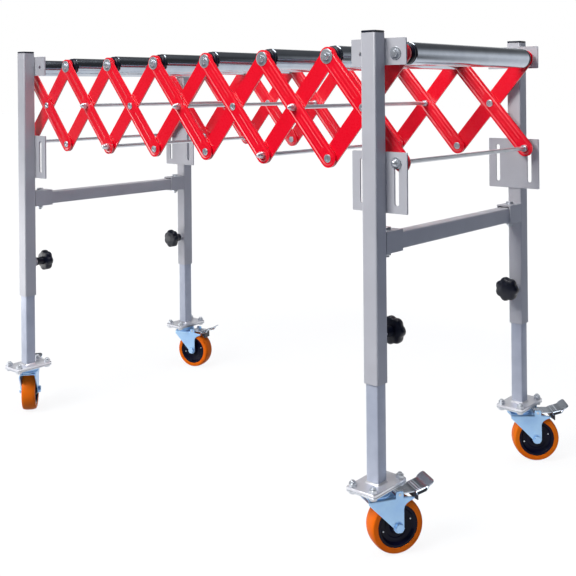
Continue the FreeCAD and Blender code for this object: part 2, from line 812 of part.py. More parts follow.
def make_plate_bolt():
    """Bolt of the caster plate: round head below, nut and bolt end above the base plate."""
    body = new_body("plate_bolt")
    head = new_sketch(body, "plate_bolt_head", "XY_Plane", f"{PLATE_UNDER} - bolt_head_height")
    draw_circle(head, "0", "0", "bolt_head_radius")
    pad(body, head, "bolt_head_height")
    shank = new_sketch(body, "plate_bolt_shank", "XY_Plane", PLATE_UNDER)
    draw_circle(shank, "0", "0", "pin_radius")
    pad(body, shank, "caster_plate + base_thickness + nut_height + bolt_tail")
    nut = new_sketch(body, "plate_bolt_nut", "XY_Plane", "base_top")
    draw_outline(nut, hexagon("nut_flats"))
    pad(body, nut, "nut_height")
    return body


def make_knob():
    """Star knob on the leg's inner face: clamp stud, collar, lobed grip and a low crown."""
    body = new_body("star_knob")
    tip = "inner_size / 2 + stud_tip_gap"
    collar = "(leg_size / 2 + boss_height + seat_gap)"
    grip = f"({collar} + collar_height)"
    face = f"({grip} + star_height)"
    shank = new_sketch(body, "knob_stud", "XZ_Plane", f"-{collar}")
    draw_circle(shank, "0", "knob_height", "pin_radius")
    pad(body, shank, f"{collar} - ({tip})")
    ring = new_sketch(body, "knob_collar", "XZ_Plane", f"-{grip}")
    draw_circle(ring, "0", "knob_height", "collar_radius")
    pad(body, ring, "collar_height")
    core = new_sketch(body, "knob_core", "XZ_Plane", f"-{face}")
    draw_circle(core, "0", "knob_height", "star_core")
    pad(body, core, "star_height")
    crown = new_sketch(body, "knob_crown", "XZ_Plane", f"-({face} + star_crown)")
    draw_circle(crown, "0", "knob_height", "collar_radius")
    pad(body, crown, "star_crown")
    lobe = new_sketch(body, "knob_lobe", "XZ_Plane", f"-{face}")
    sketch_axis = new_sketch(body, "knob_axis", "XZ_Plane")
    sketch_axis.setExpression("AttachmentOffset.Base.y", "dims.knob_height")
    draw_circle(lobe, "0", "knob_height + star_radius - star_lobe", "star_lobe")
    lobe_pad = pad(body, lobe, "star_height")
    star = body.newObject("PartDesign::PolarPattern", "knob_lobes")
    star.Originals = [lobe_pad]
    star.Axis = (sketch_axis, ["N_Axis"])
    star.Angle = 360
    bind(star, "Occurrences", "star_count")
    body.Tip = star
    return body


# Casters, each with its swivel axis on the local Z axis and trailing towards +X

def make_fork():
    """Bent-sheet fork with tapering cheeks, ears for the pedal's pin and the swivel race on its crown."""
    body = new_body("caster_fork")
    half_out = "(fork_inside / 2 + fork_sheet)"
    side = new_sketch(body, "fork_side", "XZ_Plane", f"-{half_out}")
    foot_back = "trail + fork_foot"
    foot_front = "trail - fork_foot"
    outline = [
        ("-fork_front", "fork_top"),
        ("crown_end", "fork_top"),
        ("crown_end", "ear_top"),
        ("ear_end", "ear_top"),
        ("ear_end + ear_slope", "fork_top"),
        ("fork_back", "fork_top"),
        ("fork_back", "shelf_under"),
        (foot_back, "throat"),
        (foot_back, "wheel_radius"),
        (foot_front, "wheel_radius", "trail", "wheel_radius - fork_foot"),
        ("-fork_front", "fork_nose"),
    ]
    draw_outline(side, outline)
    pad(body, side, f"2 * {half_out}")
    half_in = "fork_inside / 2"
    low = ("-fork_front - overrun", f"-{half_in}", "0")
    high = ("fork_back + overrun", half_in, "fork_top - fork_crown")
    add_block(body, "PartDesign::SubtractiveBox", "wheel_room", low, high)
    low = ("crown_end", f"-{half_in}", "fork_top - fork_crown - overrun")
    high = ("fork_back + overrun", half_in, "ear_top + overrun")
    add_block(body, "PartDesign::SubtractiveBox", "tongue_room", low, high)
    start = f"-{half_out} - overrun"
    depth = f"2 * ({half_out} + overrun)"
    cut_bore(body, "axle_holes", "XZ_Plane", "trail", "wheel_radius", start, "axle_bolt_hole", depth)
    cut_bore(body, "pin_holes", "XZ_Plane", "pedal_pivot_x", "pedal_pivot_z", start, "pedal_pin_hole", depth)
    race = new_sketch(body, "swivel_race", "XZ_Plane")
    top = f"{PLATE_UNDER} - race_gap"
    waist = f"(fork_top + {top}) / 2"
    flank = [("race_radius", "fork_top"), ("race_waist", waist), ("race_radius", top)]
    draw_outline(race, [("0", "fork_top")] + flank + [("0", top)])
    revolve(body, race)
    under = "fork_top - fork_crown - overrun"
    depth = f"{top} - ({under}) + overrun"
    cut_bore(body, "king_pin_bore", "XY_Plane", "0", "0", under, "king_pin_hole", depth)
    return body


def make_axle_bolt():
    half = "(fork_inside / 2 + fork_sheet)"
    steps = [("axle_bolt", f"-{half}", half)]
    heads = [("head_flats", half, f"{half} + head_height")]
    return make_pin("axle_bolt_and_nut", steps, mirrored(heads) + heads)


def make_pedal():
    """Brake pedal: a tongue between the fork's ears, a wide upturned tread, a pivot pin and a shoe."""
    body = new_body("brake_pedal_blank")
    base = "(pedal_pivot_z - pedal_sheet / 2)"
    top = "(pedal_pivot_z + pedal_sheet / 2)"
    tongue = new_sketch(body, "pedal_tongue_outline", "XZ_Plane", "-pedal_tongue / 2")
    end = "pedal_knee + pedal_lap"
    draw_outline(tongue, [("pedal_start", base), (end, base), (end, top), ("pedal_start", top)])
    pad(body, tongue, "pedal_tongue")
    tread = new_sketch(body, "pedal_tread_outline", "XZ_Plane", "-pedal_width / 2")
    outline = [
        ("pedal_knee", base),
        ("pedal_bend", f"{base} + pedal_bend_rise"),
        ("pedal_tip", f"{base} + pedal_tip_rise"),
        ("pedal_tip - pedal_tip_back", f"{top} + pedal_tip_rise"),
        ("pedal_bend - pedal_bend_back", f"{top} + pedal_bend_rise"),
        ("pedal_knee", top),
    ]
    draw_outline(tread, outline)
    pad(body, tread, "pedal_width")
    pin = new_sketch(body, "pedal_pin_section", "XZ_Plane", "-(fork_inside / 2 + fork_sheet + pedal_pin_end)")
    draw_circle(pin, "pedal_pivot_x", "pedal_pivot_z", "pedal_pin")
    pad(body, pin, "fork_inside + 2 * (fork_sheet + pedal_pin_end)")
    shoe = new_sketch(body, "brake_shoe_outline", "XZ_Plane", "-shoe_width / 2")
    slope = "pedal_bend_rise / (pedal_bend - pedal_knee)"
    back_top = f"{top} + (shoe_back - pedal_knee) * {slope} - pedal_sheet / 2"
    block = [
        ("shoe_front", "shoe_front_low"),
        ("shoe_back", "shoe_back_low"),
        ("shoe_back", back_top),
        ("shoe_front", "pedal_pivot_z"),
    ]
    draw_outline(shoe, block)
    pad(body, shoe, "shoe_width")
    return body


def make_tyre():
    """Tyre about the Y axis: square seat on the hub, straight shoulders and a round crown."""
    body = new_body("tyre_blank")
    sketch = new_sketch(body, "tyre_profile", "XY_Plane")
    half = "wheel_width / 2"
    outline = [
        ("tyre_inner", half),
        ("tyre_inner", f"-{half}"),
        ("tyre_shoulder", f"-{half}"),
        ("tyre_shoulder", half, "wheel_radius", "0"),
    ]
    draw_outline(sketch, outline)
    revolve(body, sketch)
    return body


def make_hub():
    """Moulded hub about the Y axis: boss, recessed web and a rim that carries the tyre."""
    body = new_body("hub_blank")
    sketch = new_sketch(body, "hub_profile", "XY_Plane")
    half = [
        ("tyre_inner", "wheel_width / 2 - hub_recess"),
        ("hub_rim", "wheel_width / 2 - hub_recess"),
        ("hub_rim - hub_draft", "hub_web / 2"),
        ("hub_boss_radius + hub_draft", "hub_web / 2"),
        ("hub_boss_radius", "hub_boss_width / 2"),
        ("axle_bore", "hub_boss_width / 2"),
    ]
    draw_outline(sketch, half + [(radius, f"-({level})") for radius, level in reversed(half)])
    revolve(body, sketch)
    return body


# Assembly

def column_x(column):
    return f"({column} - cell_count / 2) * column_pitch"


def add_bed():
    falling = make_bar("falling_bar", faces_near=True)
    rising = make_bar("rising_bar", faces_near=False)
    near_falling = (BAR_MID_OUT, BAR_OUT)
    near_rising = (BAR_IN, BAR_MID_IN)
    far_falling = (BAR_IN, BAR_MID_IN)
    far_rising = (BAR_MID_OUT, BAR_OUT)
    axle = make_roller_axle()
    left_axle = make_end_axle("left_end_axle", near_falling, far_falling, "seat_gap")
    right_axle = make_end_axle("right_end_axle", near_rising, far_rising, "0")
    rod = make_cross_rod()
    left_rod = make_slot_rod("left_slot_rod", near_rising, far_rising)
    right_rod = make_slot_rod("right_slot_rod", near_falling, far_falling)
    rivet = make_rivet()
    tube = make_roller_tube()
    cap = make_roller_cap()
    mid_height = f"axle_height - {DROP} / 2"
    low_height = f"axle_height - {DROP}"
    across = f"{BAR_OUT} + {BAR_IN}"

    def joint(x, z, is_rod):
        if is_rod:
            return [link_to(rod, x, "0", z)]
        return [link_to(rivet, x, "0", z), link_to(rivet, x, across, z)]

    for cell in range(CELLS):
        middle = column_x(cell + 0.5)
        number = cell + 1
        bars = []
        for level in (f"-{BAR_MID_OUT}", BAR_MID_IN):
            bars.append(link_to(falling, middle, level, mid_height, Y_AXIS, LEAN))
        add_node(f"falling_bars_{number}", bars)
        bars = []
        for level in (f"-{BAR_MID_IN}", BAR_MID_OUT):
            bars.append(link_to(rising, middle, level, mid_height, -Y_AXIS, LEAN))
        if cell == 0:
            bars.append(link_to(left_rod, column_x(0), "0", low_height))
        add_node(f"rising_bars_{number}", bars)
        top_axle = left_axle if cell == 0 else axle
        pins = [link_to(top_axle, column_x(cell), "0", "axle_height")]
        pins += joint(middle, mid_height, cell in ROD_MIDDLES)
        if number == CELLS:
            pins.append(link_to(right_rod, column_x(number), "0", low_height))
        else:
            pins += joint(column_x(number), low_height, number in ROD_BOTTOMS)
        add_node(f"pivot_pins_{number}", pins)
    for column in range(CELLS + 1):
        x = column_x(column)
        pieces = [
            link_to(tube, x, "0", "axle_height"),
            link_to(cap, x, "0", "axle_height"),
            link_to(cap, x, "0", "axle_height", Z_AXIS, "180"),
        ]
        add_node(f"roller_{column + 1}", pieces)
    add_node("right_axle", [link_to(right_axle, column_x(CELLS), "0", "axle_height")])


def add_frames():
    welded = [make_leg_tube(), make_top_plate(), make_slot_plate(), make_sleeve(), make_knob_boss()]
    plug = make_leg_plug()
    crossbar = make_crossbar()
    bolt = make_crossbar_bolt()
    for end, x in (("right", f"{column_x(CELLS)} - leg_inset"), ("left", f"{column_x(0)} + leg_inset")):
        sides = (("-leg_line", "0"), ("leg_line", "180"))
        legs = [link_to(piece, x, y, "0", Z_AXIS, turn) for y, turn in sides for piece in welded]
        add_node(f"{end}_legs", legs)
        add_node(f"{end}_leg_plugs", [link_to(plug, x, y, "0", Z_AXIS, turn) for y, turn in sides])
        bolt_line = f"{LEG_FACE} - sleeve_bolt_in"
        bolts = [link_to(bolt, x, f"-({bolt_line})"), link_to(bolt, x, bolt_line)]
        add_node(f"{end}_crossbar", [link_to(crossbar, x, "0")] + bolts)


def add_stands():
    tube = make_inner_tube()
    base = make_base_plate()
    plate = make_caster_plate()
    king_pin = make_king_pin()
    bolt = make_plate_bolt()
    knob = make_knob()
    fork = make_fork()
    axle = make_axle_bolt()
    pedal = make_pedal()
    tyre = make_tyre()
    hub = make_hub()
    for end, x in (("right", f"{column_x(CELLS)} - leg_inset"), ("left", f"{column_x(0)} + leg_inset")):
        for side, y, turn in (("near", "-leg_line", "0"), ("far", "leg_line", "180")):
            place = f"{side}_{end}"
            swivel = f"swivel_{place}"
            pieces = [link_to(piece, x, y) for piece in (tube, base, plate, king_pin)]
            for bolt_x in ("-bolt_x", "bolt_x"):
                for bolt_y in ("-bolt_y", "bolt_y"):
                    pieces.append(link_to(bolt, f"{x} + {bolt_x}", f"{y} + {bolt_y}"))
            add_node(f"inner_leg_{place}", pieces)
            add_node(f"knob_{place}", [link_to(knob, x, y, "0", Z_AXIS, turn)])
            wheel_x = f"{x} + trail * cos({swivel})"
            wheel_y = f"{y} + trail * sin({swivel})"
            wheel = (wheel_x, wheel_y, "wheel_radius", Z_AXIS, swivel)
            add_node(f"fork_{place}", [link_to(fork, x, y, "0", Z_AXIS, swivel), link_to(axle, *wheel)])
            add_node(f"pedal_{place}", [link_to(pedal, x, y, "0", Z_AXIS, swivel)])
            add_node(f"tyre_{place}", [link_to(tyre, *wheel)])
            add_node(f"hub_{place}", [link_to(hub, *wheel)])


def check_document():
    """Stop if any object failed or any node's shape isn't sound."""
    for item in doc.Objects:
        if "Invalid" in item.State or "Error" in item.State:
            raise RuntimeError(f"{item.Label} did not build: {item.State}")
    for node in nodes:
        if node.Shape.isNull() or not node.Shape.isValid():
            raise RuntimeError(f"{node.Label} has no sound shape")


add_bed()
add_frames()
add_stands()
doc.recompute()
check_document()
os.makedirs("parts", exist_ok=True)
for node in nodes:
    node.Shape.exportStep(f"parts/{node.Label}.step")
box = Part.makeCompound([node.Shape for node in nodes]).BoundBox
print(f"{len(nodes)} nodes, {box.XLength:.1f} x {box.YLength:.1f} x {box.ZLength:.1f} mm")
print(f"x {box.XMin:.2f} {box.XMax:.2f}, y {box.YMin:.2f} {box.YMax:.2f}, z {box.ZMin:.2f} {box.ZMax:.2f}")
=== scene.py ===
"""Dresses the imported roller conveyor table: red bars, rollers, bolts, legs, clamp knobs and casters.

Every new piece is a set of point grids. A grid is an array of rows and columns of points that is worked out
from two parameters, in metres and in the table's own frame.
"""
import json
import math

import bmesh
import bpy
import numpy as np
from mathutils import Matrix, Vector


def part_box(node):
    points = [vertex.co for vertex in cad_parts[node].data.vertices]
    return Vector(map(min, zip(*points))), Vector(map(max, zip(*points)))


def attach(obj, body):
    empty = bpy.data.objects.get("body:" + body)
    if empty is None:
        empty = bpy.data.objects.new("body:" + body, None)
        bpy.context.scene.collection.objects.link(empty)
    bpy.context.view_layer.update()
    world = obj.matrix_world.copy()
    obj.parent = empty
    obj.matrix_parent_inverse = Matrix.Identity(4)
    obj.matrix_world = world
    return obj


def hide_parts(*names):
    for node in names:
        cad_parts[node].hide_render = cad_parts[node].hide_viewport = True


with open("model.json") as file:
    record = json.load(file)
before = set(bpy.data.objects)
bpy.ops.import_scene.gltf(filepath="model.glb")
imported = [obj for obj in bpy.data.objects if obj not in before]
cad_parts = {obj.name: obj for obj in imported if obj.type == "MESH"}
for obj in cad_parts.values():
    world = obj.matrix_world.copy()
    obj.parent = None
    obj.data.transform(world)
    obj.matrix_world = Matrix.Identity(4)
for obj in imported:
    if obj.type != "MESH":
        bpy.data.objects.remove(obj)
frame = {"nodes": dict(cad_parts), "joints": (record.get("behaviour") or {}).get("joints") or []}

TAU = 2 * math.pi
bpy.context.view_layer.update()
JOINTS = {joint["name"]: joint for joint in frame["joints"]}
PLACES = ("near_right", "far_right", "near_left", "far_left")
ENDS = ("right", "left")
CELLS = sum(name.startswith("middle_pivot") for name in JOINTS)

# Clearance of pieces that sit on each other, and of pieces that move past each other
TOUCH = 0.0001
PLAY = 0.0003

# Scissor bars: each side of the bed has an outer and an inner layer, given by their levels on Y
BAR_WIDTH = 0.034
BAR_THICKNESS = 0.004
BAR_GAP = 0.0015
RIM_WIDTH = 0.0073
RIM_WALL = 0.0040
RIM_DEPTH = 0.00088
GROOVE_HALF = 0.0048
GROOVE_WALL = 0.0014
GROOVE_DEPTH = 0.00031
GROOVE_FROM_HOLE = 0.025
LATTICE_HALF = 0.231
OUTER_BAR = (LATTICE_HALF - BAR_THICKNESS, LATTICE_HALF)
INNER_BAR = (OUTER_BAR[0] - BAR_GAP - BAR_THICKNESS, OUTER_BAR[0] - BAR_GAP)

# Level of a bar's back on Y and the way its front faces, on the near and on the far side
BAR_LEVELS = {
    "falling": ((-OUTER_BAR[0], -1), (INNER_BAR[1], -1)),
    "rising": ((-INNER_BAR[1], 1), (OUTER_BAR[0], 1)),
}

# Rollers, pins, bolts and nuts; a dome nut is its hex base and its crown
ROLLER_RADIUS = 0.020
ROLLER_HALF = 0.217
CAP_LIP = 0.009
AXLE_RADIUS = 0.005
PIN_RADIUS = 0.004
COLLAR_RADIUS = 0.007
THIN_WASHER = 0.009
FLANGE_RADIUS = 0.0138
SLOT_WASHER = 0.0100
END_WASHER = 0.0110
WASHER_THICKNESS = 0.002
WASHER_EASE = 0.0005
HEAD_FLATS = 0.014
HEAD_HEIGHT = 0.0043
NUT_FLATS = 0.013
NUT_HEIGHT = 0.006
DOME_RADIUS = 0.006
TALL_NUT = (0.0065, 0.0104)
LOW_HEAD = 0.0044
LOW_NUT = (LOW_HEAD, 0.0052)
ROD_MIDDLES = (1, 3, 5)
ROD_BOTTOMS = (2, 5)

# End frames: LEG_LINE and LEG_FACE are the legs' middle and inner face on Y, and the plates end at the face
LEG_SIZE = 0.030
LEG_LINE = 0.260
LEG_FACE = LEG_LINE - LEG_SIZE / 2
PLATE_THICKNESS = 0.003
INNER_SIZE = 0.025
INNER_WALL = 0.0015
TUBE_CORNER = 0.0025
KNOB_BOSS = LEG_SIZE / 2 + 0.008
KNOB_JOINT = 0.030
KNOB_COLLAR = 0.020
CROSSBAR_SIZE = (0.025, 0.030)
CROSSBAR_WALL = 0.002
SLEEVE_BELOW = 0.0175
SLEEVE_ABOVE = 0.020
SLEEVE_BOLT = 0.022
SLEEVE_WASHER = (0.0095, 0.0012)
BOLT_TIP = 0.0095
CROSSBAR_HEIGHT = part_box("right_crossbar")[0].z + SLEEVE_BELOW + BOLT_TIP

# Casters, in their own frame: swivel axis on Z, trailing towards +X. The king pin's head is a radius and
# two levels, the pedal's pivot is on x and z, and the pedal's pin is a radius and half a length
CASTER_PLATE_LOW = 0.114
BASE_LOW = 0.117
BASE_TOP = 0.122
BASE_SIZE = (0.060, 0.096)
BASE_CORNER = 0.005
BOLT_SPREAD = (0.021, 0.039)
ROUND_HEAD = 0.004
KING_PIN_HEAD = (0.009, 0.0945, 0.0987)
WHEEL_RADIUS = 0.048
WHEEL_WIDTH = 0.032
HUB_RADIUS = 0.0365
TRAIL = 0.032
FORK_SIDE = 0.01875
FORK_THICKNESS = 0.0025
PEDAL_THICKNESS = 0.0022
PEDAL_PIVOT = (0.034, 0.103)
PEDAL_PIN = (0.0025, 0.021)


def spot(joint):
    """Place of a joint."""
    return np.array(JOINTS[joint]["pos_m"])


def swivel_foot(place):
    """Point on the floor under a caster's swivel axis."""
    return spot(f"caster_swivel_{place}") * np.array([1, 1, 0])


TOPS = [spot(f"roller_{number}_spin") for number in range(1, CELLS + 2)]
MIDDLES = [spot(f"middle_pivot_{number}") for number in range(1, CELLS + 1)]
BOTTOMS = [2 * MIDDLES[0] - TOPS[1]] + [2 * middle - top for middle, top in zip(MIDDLES, TOPS)]


# Point grids

def placed(grid, origin=(0, 0, 0), along=(1, 0, 0), out=(0, 1, 0), up=(0, 0, 1)):
    """A grid carried to an origin, with its own x, y and z along three given directions."""
    return grid @ np.array([along, out, up], float) + np.asarray(origin, float)


def at(grids, place):
    """Grids carried to a place."""
    return [placed(grid, place) for grid in grids]


def mirrored(grids):
    """Grids that face the other way on Y."""
    return [placed(grid, out=(0, -1, 0)) for grid in grids]


def both_sides(grids):
    """Grids of the far side and the same ones facing the other way on the near side."""
    return grids + mirrored(grids)


def turned_about_z(grid, angle):
    """A grid turned about the Z axis."""
    cos = math.cos(angle)
    sin = math.sin(angle)
    return placed(grid, along=(cos, sin, 0), out=(-sin, cos, 0))


def upright(grid):
    """A grid made about the Y axis, stood up so that its Y runs along Z."""
    return placed(grid, out=(0, 0, 1), up=(0, -1, 0))


def eased(profile, cut):
    """A profile with each inner corner cut by a facet that starts the given distance before it."""
    profile = np.asarray(profile, float)
    step = np.diff(profile, axis=0)
    length = np.linalg.norm(step, axis=1, keepdims=True)
    reach = np.minimum(cut, length / 3)
    direction = step / np.maximum(length, 1e-9)
    before = profile[1:-1] - direction[:-1] * reach[:-1]
    after = profile[1:-1] + direction[1:] * reach[1:]
    middle = np.stack([before, after], axis=1).reshape(-1, 2)
    return np.concatenate([profile[:1], middle, profile[-1:]])


def raised(profile, level):
    """A profile of (radius, along) moved along its axis."""
    return np.asarray(profile, float) + np.array([0, level])


def lathe(profile, turns=40):
    """A profile of (radius, along) carried round the Y axis: (r cos a, along, r sin a) at each turn a."""
    profile = np.asarray(profile, float)
    angle = np.linspace(0, TAU, turns + 1)
    radius = profile[:, :1]
    along = np.broadcast_to(profile[:, 1:], (len(profile), turns + 1))
    return np.stack([radius * np.cos(angle), along, radius * np.sin(angle)], axis=-1)


def disc(radius, low, high, ease=0.0003, turns=40):
    """A short turned cylinder between two levels, with eased rims."""
    return lathe(eased([(0, low), (radius, low), (radius, high), (0, high)], ease), turns)


def shaft(radius, half):
    """A turned cylinder along Y that reaches equally far both ways."""
    return [disc(radius, -half, half)]


def hex_reach(angle):
    """Distance to a hexagon's side in a direction, as a multiple of half its flats."""
    return 1 / np.cos(angle % (TAU / 6) - TAU / 12)


def hexagon(flats, low, high, turns=48):
    """A hexagonal prism about Y: the hexagon's radius, and at both ends a circle just inside its flats."""
    angle = np.linspace(0, TAU, turns + 1)
    side = flats / 2 * hex_reach(angle)
    circle = np.minimum(side, flats * 0.49)
    crown = flats * 0.05
    radii = np.stack([0 * side, circle, side, side, circle, 0 * side])
    levels = np.array([low, low, low + crown, high - crown, high, high])[:, None] + 0 * angle
    return np.stack([radii * np.cos(angle), levels, radii * np.sin(angle)], axis=-1)


def round_box(width, depth, corner, steps=5):
    """Loop of a rectangle with round corners, and the outward normal at each of its points."""
    quarter = np.linspace(0, TAU / 4, steps)
    angle = np.concatenate([quarter + turn * TAU / 4 for turn in range(4)] + [quarter[:1]])
    signs = np.repeat([(1, 1), (-1, 1), (-1, -1), (1, -1)], steps, axis=0)
    signs = np.concatenate([signs, signs[:1]])
    normal = np.stack([np.cos(angle), np.sin(angle)], axis=-1)
    centre = signs * (np.array([width, depth]) / 2 - corner)
    return centre + corner * normal, normal


def stacked(loop, normal, rows):
    """Rows of a loop at (inset, height) each: the loop moved inwards by the inset, at that height."""
    rows = np.asarray(rows, float)
    flat = loop[None] - rows[:, :1, None] * normal[None]
    height = np.broadcast_to(rows[:, 1:, None], flat.shape[:2] + (1,))
    return np.concatenate([flat, height], axis=-1)


def slab(width, depth, corner, low, high, ease=0.0008):
    """A plate with round corners and eased edges, closed to its middle on both faces."""
    loop, normal = round_box(width, depth, corner)
    wall = stacked(loop, normal, [(ease, low), (0, low + ease), (0, high - ease), (ease, high)])
    bottom = np.broadcast_to([0, 0, low], wall[:1].shape)
    top = np.broadcast_to([0, 0, high], wall[:1].shape)
    return np.concatenate([bottom, wall, top])


def square_tube(width, depth, corner, wall, low, high, ease=0.0005):
    """A hollow tube: up the outside, over the rim, down the inside and back to the start."""
    loop, normal = round_box(width, depth, corner)
    outside = [(ease, low), (0, low + ease), (0, high - ease), (ease, high)]
    inside = [(wall, high), (wall, low), (ease, low)]
    return stacked(loop, normal, outside + inside)


def smooth(value):
    """Smooth step of a value from 0 to 1."""
    value = np.clip(value, 0, 1)
    return value * value * (3 - 2 * value)


# Materials

def add_node(tree, kind, **settings):
    """A node with its properties set, and its sockets where a setting names one."""
    node = tree.nodes.new(kind)
    for key, setting in settings.items():
        if hasattr(node, key):
            setattr(node, key, setting)
        else:
            node.inputs[key.replace("_", " ")].default_value = setting
    return node


def new_group(name, inputs, outputs):
    """An empty shader group with named float sockets."""
    group = bpy.data.node_groups.new(name, "ShaderNodeTree")
    for label, default in inputs.items():
        socket = group.interface.new_socket(name=label, in_out="INPUT", socket_type="NodeSocketFloat")
        socket.default_value = default
    for label in outputs:
        group.interface.new_socket(name=label, in_out="OUTPUT", socket_type="NodeSocketFloat")
    return group, group.nodes.new("NodeGroupInput"), group.nodes.new("NodeGroupOutput")


def make_mottle_group():
    """Soft cloudy mask from 0 to 1 on Object coordinates, with a finer grain beside it."""
    scales = {"Cloud Scale": 20.0, "Grain Scale": 900.0}
    group, source, result = new_group("mottle", scales, ("Cloud", "Grain"))
    place = add_node(group, "ShaderNodeTexCoord")
    for label, detail, low, high in (("Cloud", 4.0, 0.3, 0.7), ("Grain", 2.0, 0.25, 0.75)):
        noise = add_node(group, "ShaderNodeTexNoise", Detail=detail, Roughness=0.55)
        spread = add_node(group, "ShaderNodeMapRange", From_Min=low, From_Max=high)
        group.links.new(place.outputs["Object"], noise.inputs["Vector"])
        group.links.new(source.outputs[f"{label} Scale"], noise.inputs["Scale"])
        group.links.new(noise.outputs["Fac"], spread.inputs["Value"])
        group.links.new(spread.outputs["Result"], result.inputs[label])
    return group


def make_drawn_group():
    """Fine drawn lines: noise stretched along one axis by three scales, one per axis."""
    scales = {"Across X": 300.0, "Across Y": 300.0, "Across Z": 300.0}
    group, source, result = new_group("drawn_lines", scales, ("Lines",))
    place = add_node(group, "ShaderNodeTexCoord")
    split = add_node(group, "ShaderNodeSeparateXYZ")
    merge = add_node(group, "ShaderNodeCombineXYZ")
    noise = add_node(group, "ShaderNodeTexNoise", Scale=1.0, Detail=3.0, Roughness=0.6)
    group.links.new(place.outputs["Object"], split.inputs["Vector"])
    for axis in "XYZ":
        product = add_node(group, "ShaderNodeMath", operation="MULTIPLY")
        group.links.new(split.outputs[axis], product.inputs[0])
        group.links.new(source.outputs[f"Across {axis}"], product.inputs[1])
        group.links.new(product.outputs["Value"], merge.inputs[axis])
    group.links.new(merge.outputs["Vector"], noise.inputs["Vector"])
    group.links.new(noise.outputs["Fac"], result.inputs["Lines"])
    return group


MOTTLE = make_mottle_group()
DRAWN = make_drawn_group()


def start_material(name, **shader):
    """A material whose surface is one shader with the given settings."""
    material = bpy.data.materials.new(name)
    material.use_nodes = True
    tree = material.node_tree
    tree.nodes.clear()
    surface = add_node(tree, "ShaderNodeBsdfPrincipled", **shader)
    output = add_node(tree, "ShaderNodeOutputMaterial")
    tree.links.new(surface.outputs["BSDF"], output.inputs["Surface"])
    return material, tree, surface


def add_group(tree, group, **scales):
    """A group placed in a material with its own scales."""
    node = tree.nodes.new("ShaderNodeGroup")
    node.node_tree = group
    for label, scale in scales.items():
        node.inputs[label.replace("_", " ")].default_value = scale
    return node


def blend_colours(tree, mask, low, high):
    """Colour that goes from one to another with a mask."""
    mix = add_node(tree, "ShaderNodeMix", data_type="RGBA")
    mix.inputs[6].default_value = (*low, 1)
    mix.inputs[7].default_value = (*high, 1)
    tree.links.new(mask, mix.inputs["Factor"])
    return mix.outputs[2]


def spread_value(tree, mask, low, high):
    """Value that goes from one number to another with a mask."""
    spread = add_node(tree, "ShaderNodeMapRange", To_Min=low, To_Max=high)
    tree.links.new(mask, spread.inputs["Value"])
    return spread.outputs["Result"]


def add_bump(tree, height, surface, strength, distance):
    """A fine swell of the surface that follows a height."""
    bump = add_node(tree, "ShaderNodeBump", Strength=strength, Distance=distance)
    tree.links.new(height, bump.inputs["Height"])
    tree.links.new(bump.outputs["Normal"], surface.inputs["Normal"])


def make_paint(name, low, high, rough, grain, peel, **shader):
    """Paint or plastic: cloudy tint between two colours, roughness in a range and a fine swell."""
    material, tree, surface = start_material(name, **shader)
    mottle = add_group(tree, MOTTLE, Cloud_Scale=14.0, Grain_Scale=grain)
    tree.links.new(blend_colours(tree, mottle.outputs["Cloud"], low, high), surface.inputs["Base Color"])
    tree.links.new(spread_value(tree, mottle.outputs["Grain"], *rough), surface.inputs["Roughness"])
    add_bump(tree, mottle.outputs["Grain"], surface, peel, 0.0004)
    return material


def make_metal(name, low, high, rough, drawn, depth=0.06, Metallic=1.0):
    """Plated or bright metal: drawn lines in roughness and height, cloudy tint between two colours."""
    material, tree, surface = start_material(name, Metallic=Metallic)
    mottle = add_group(tree, MOTTLE, Cloud_Scale=30.0, Grain_Scale=1400.0)
    lines = add_group(tree, DRAWN, Across_X=drawn[0], Across_Y=drawn[1], Across_Z=drawn[2])
    tree.links.new(blend_colours(tree, mottle.outputs["Cloud"], low, high), surface.inputs["Base Color"])
    tree.links.new(spread_value(tree, lines.outputs["Lines"], *rough), surface.inputs["Roughness"])
    add_bump(tree, lines.outputs["Lines"], surface, depth, 0.0003)
    return material


PAINTS = {
    "leg_paint": dict(low=(0.48, 0.475, 0.495), high=(0.53, 0.525, 0.545), rough=(0.38, 0.48),
                      grain=1500.0, peel=0.10, Metallic=0.10),
    "bar_paint": dict(low=(0.86, 0.001, 0.015), high=(0.91, 0.002, 0.020), rough=(0.24, 0.32),
                      grain=260.0, peel=0.0006, Coat_Weight=1.0, Coat_IOR=1.8, Coat_Roughness=0.20,
                      Specular_IOR_Level=0.10),
    "tyre_orange": dict(low=(0.97, 0.150, 0.002), high=(1.00, 0.205, 0.005), rough=(0.42, 0.54),
                        grain=700.0, peel=0.08, Specular_IOR_Level=0.12),
    "hub_black": dict(low=(0.003, 0.003, 0.014), high=(0.006, 0.006, 0.022), rough=(0.18, 0.28),
                      grain=900.0, peel=0.04, Specular_IOR_Level=0.12),
    "black_plastic": dict(low=(0.003, 0.005, 0.014), high=(0.007, 0.010, 0.024), rough=(0.28, 0.40),
                          grain=1100.0, peel=0.10, Specular_IOR_Level=0.4),
}
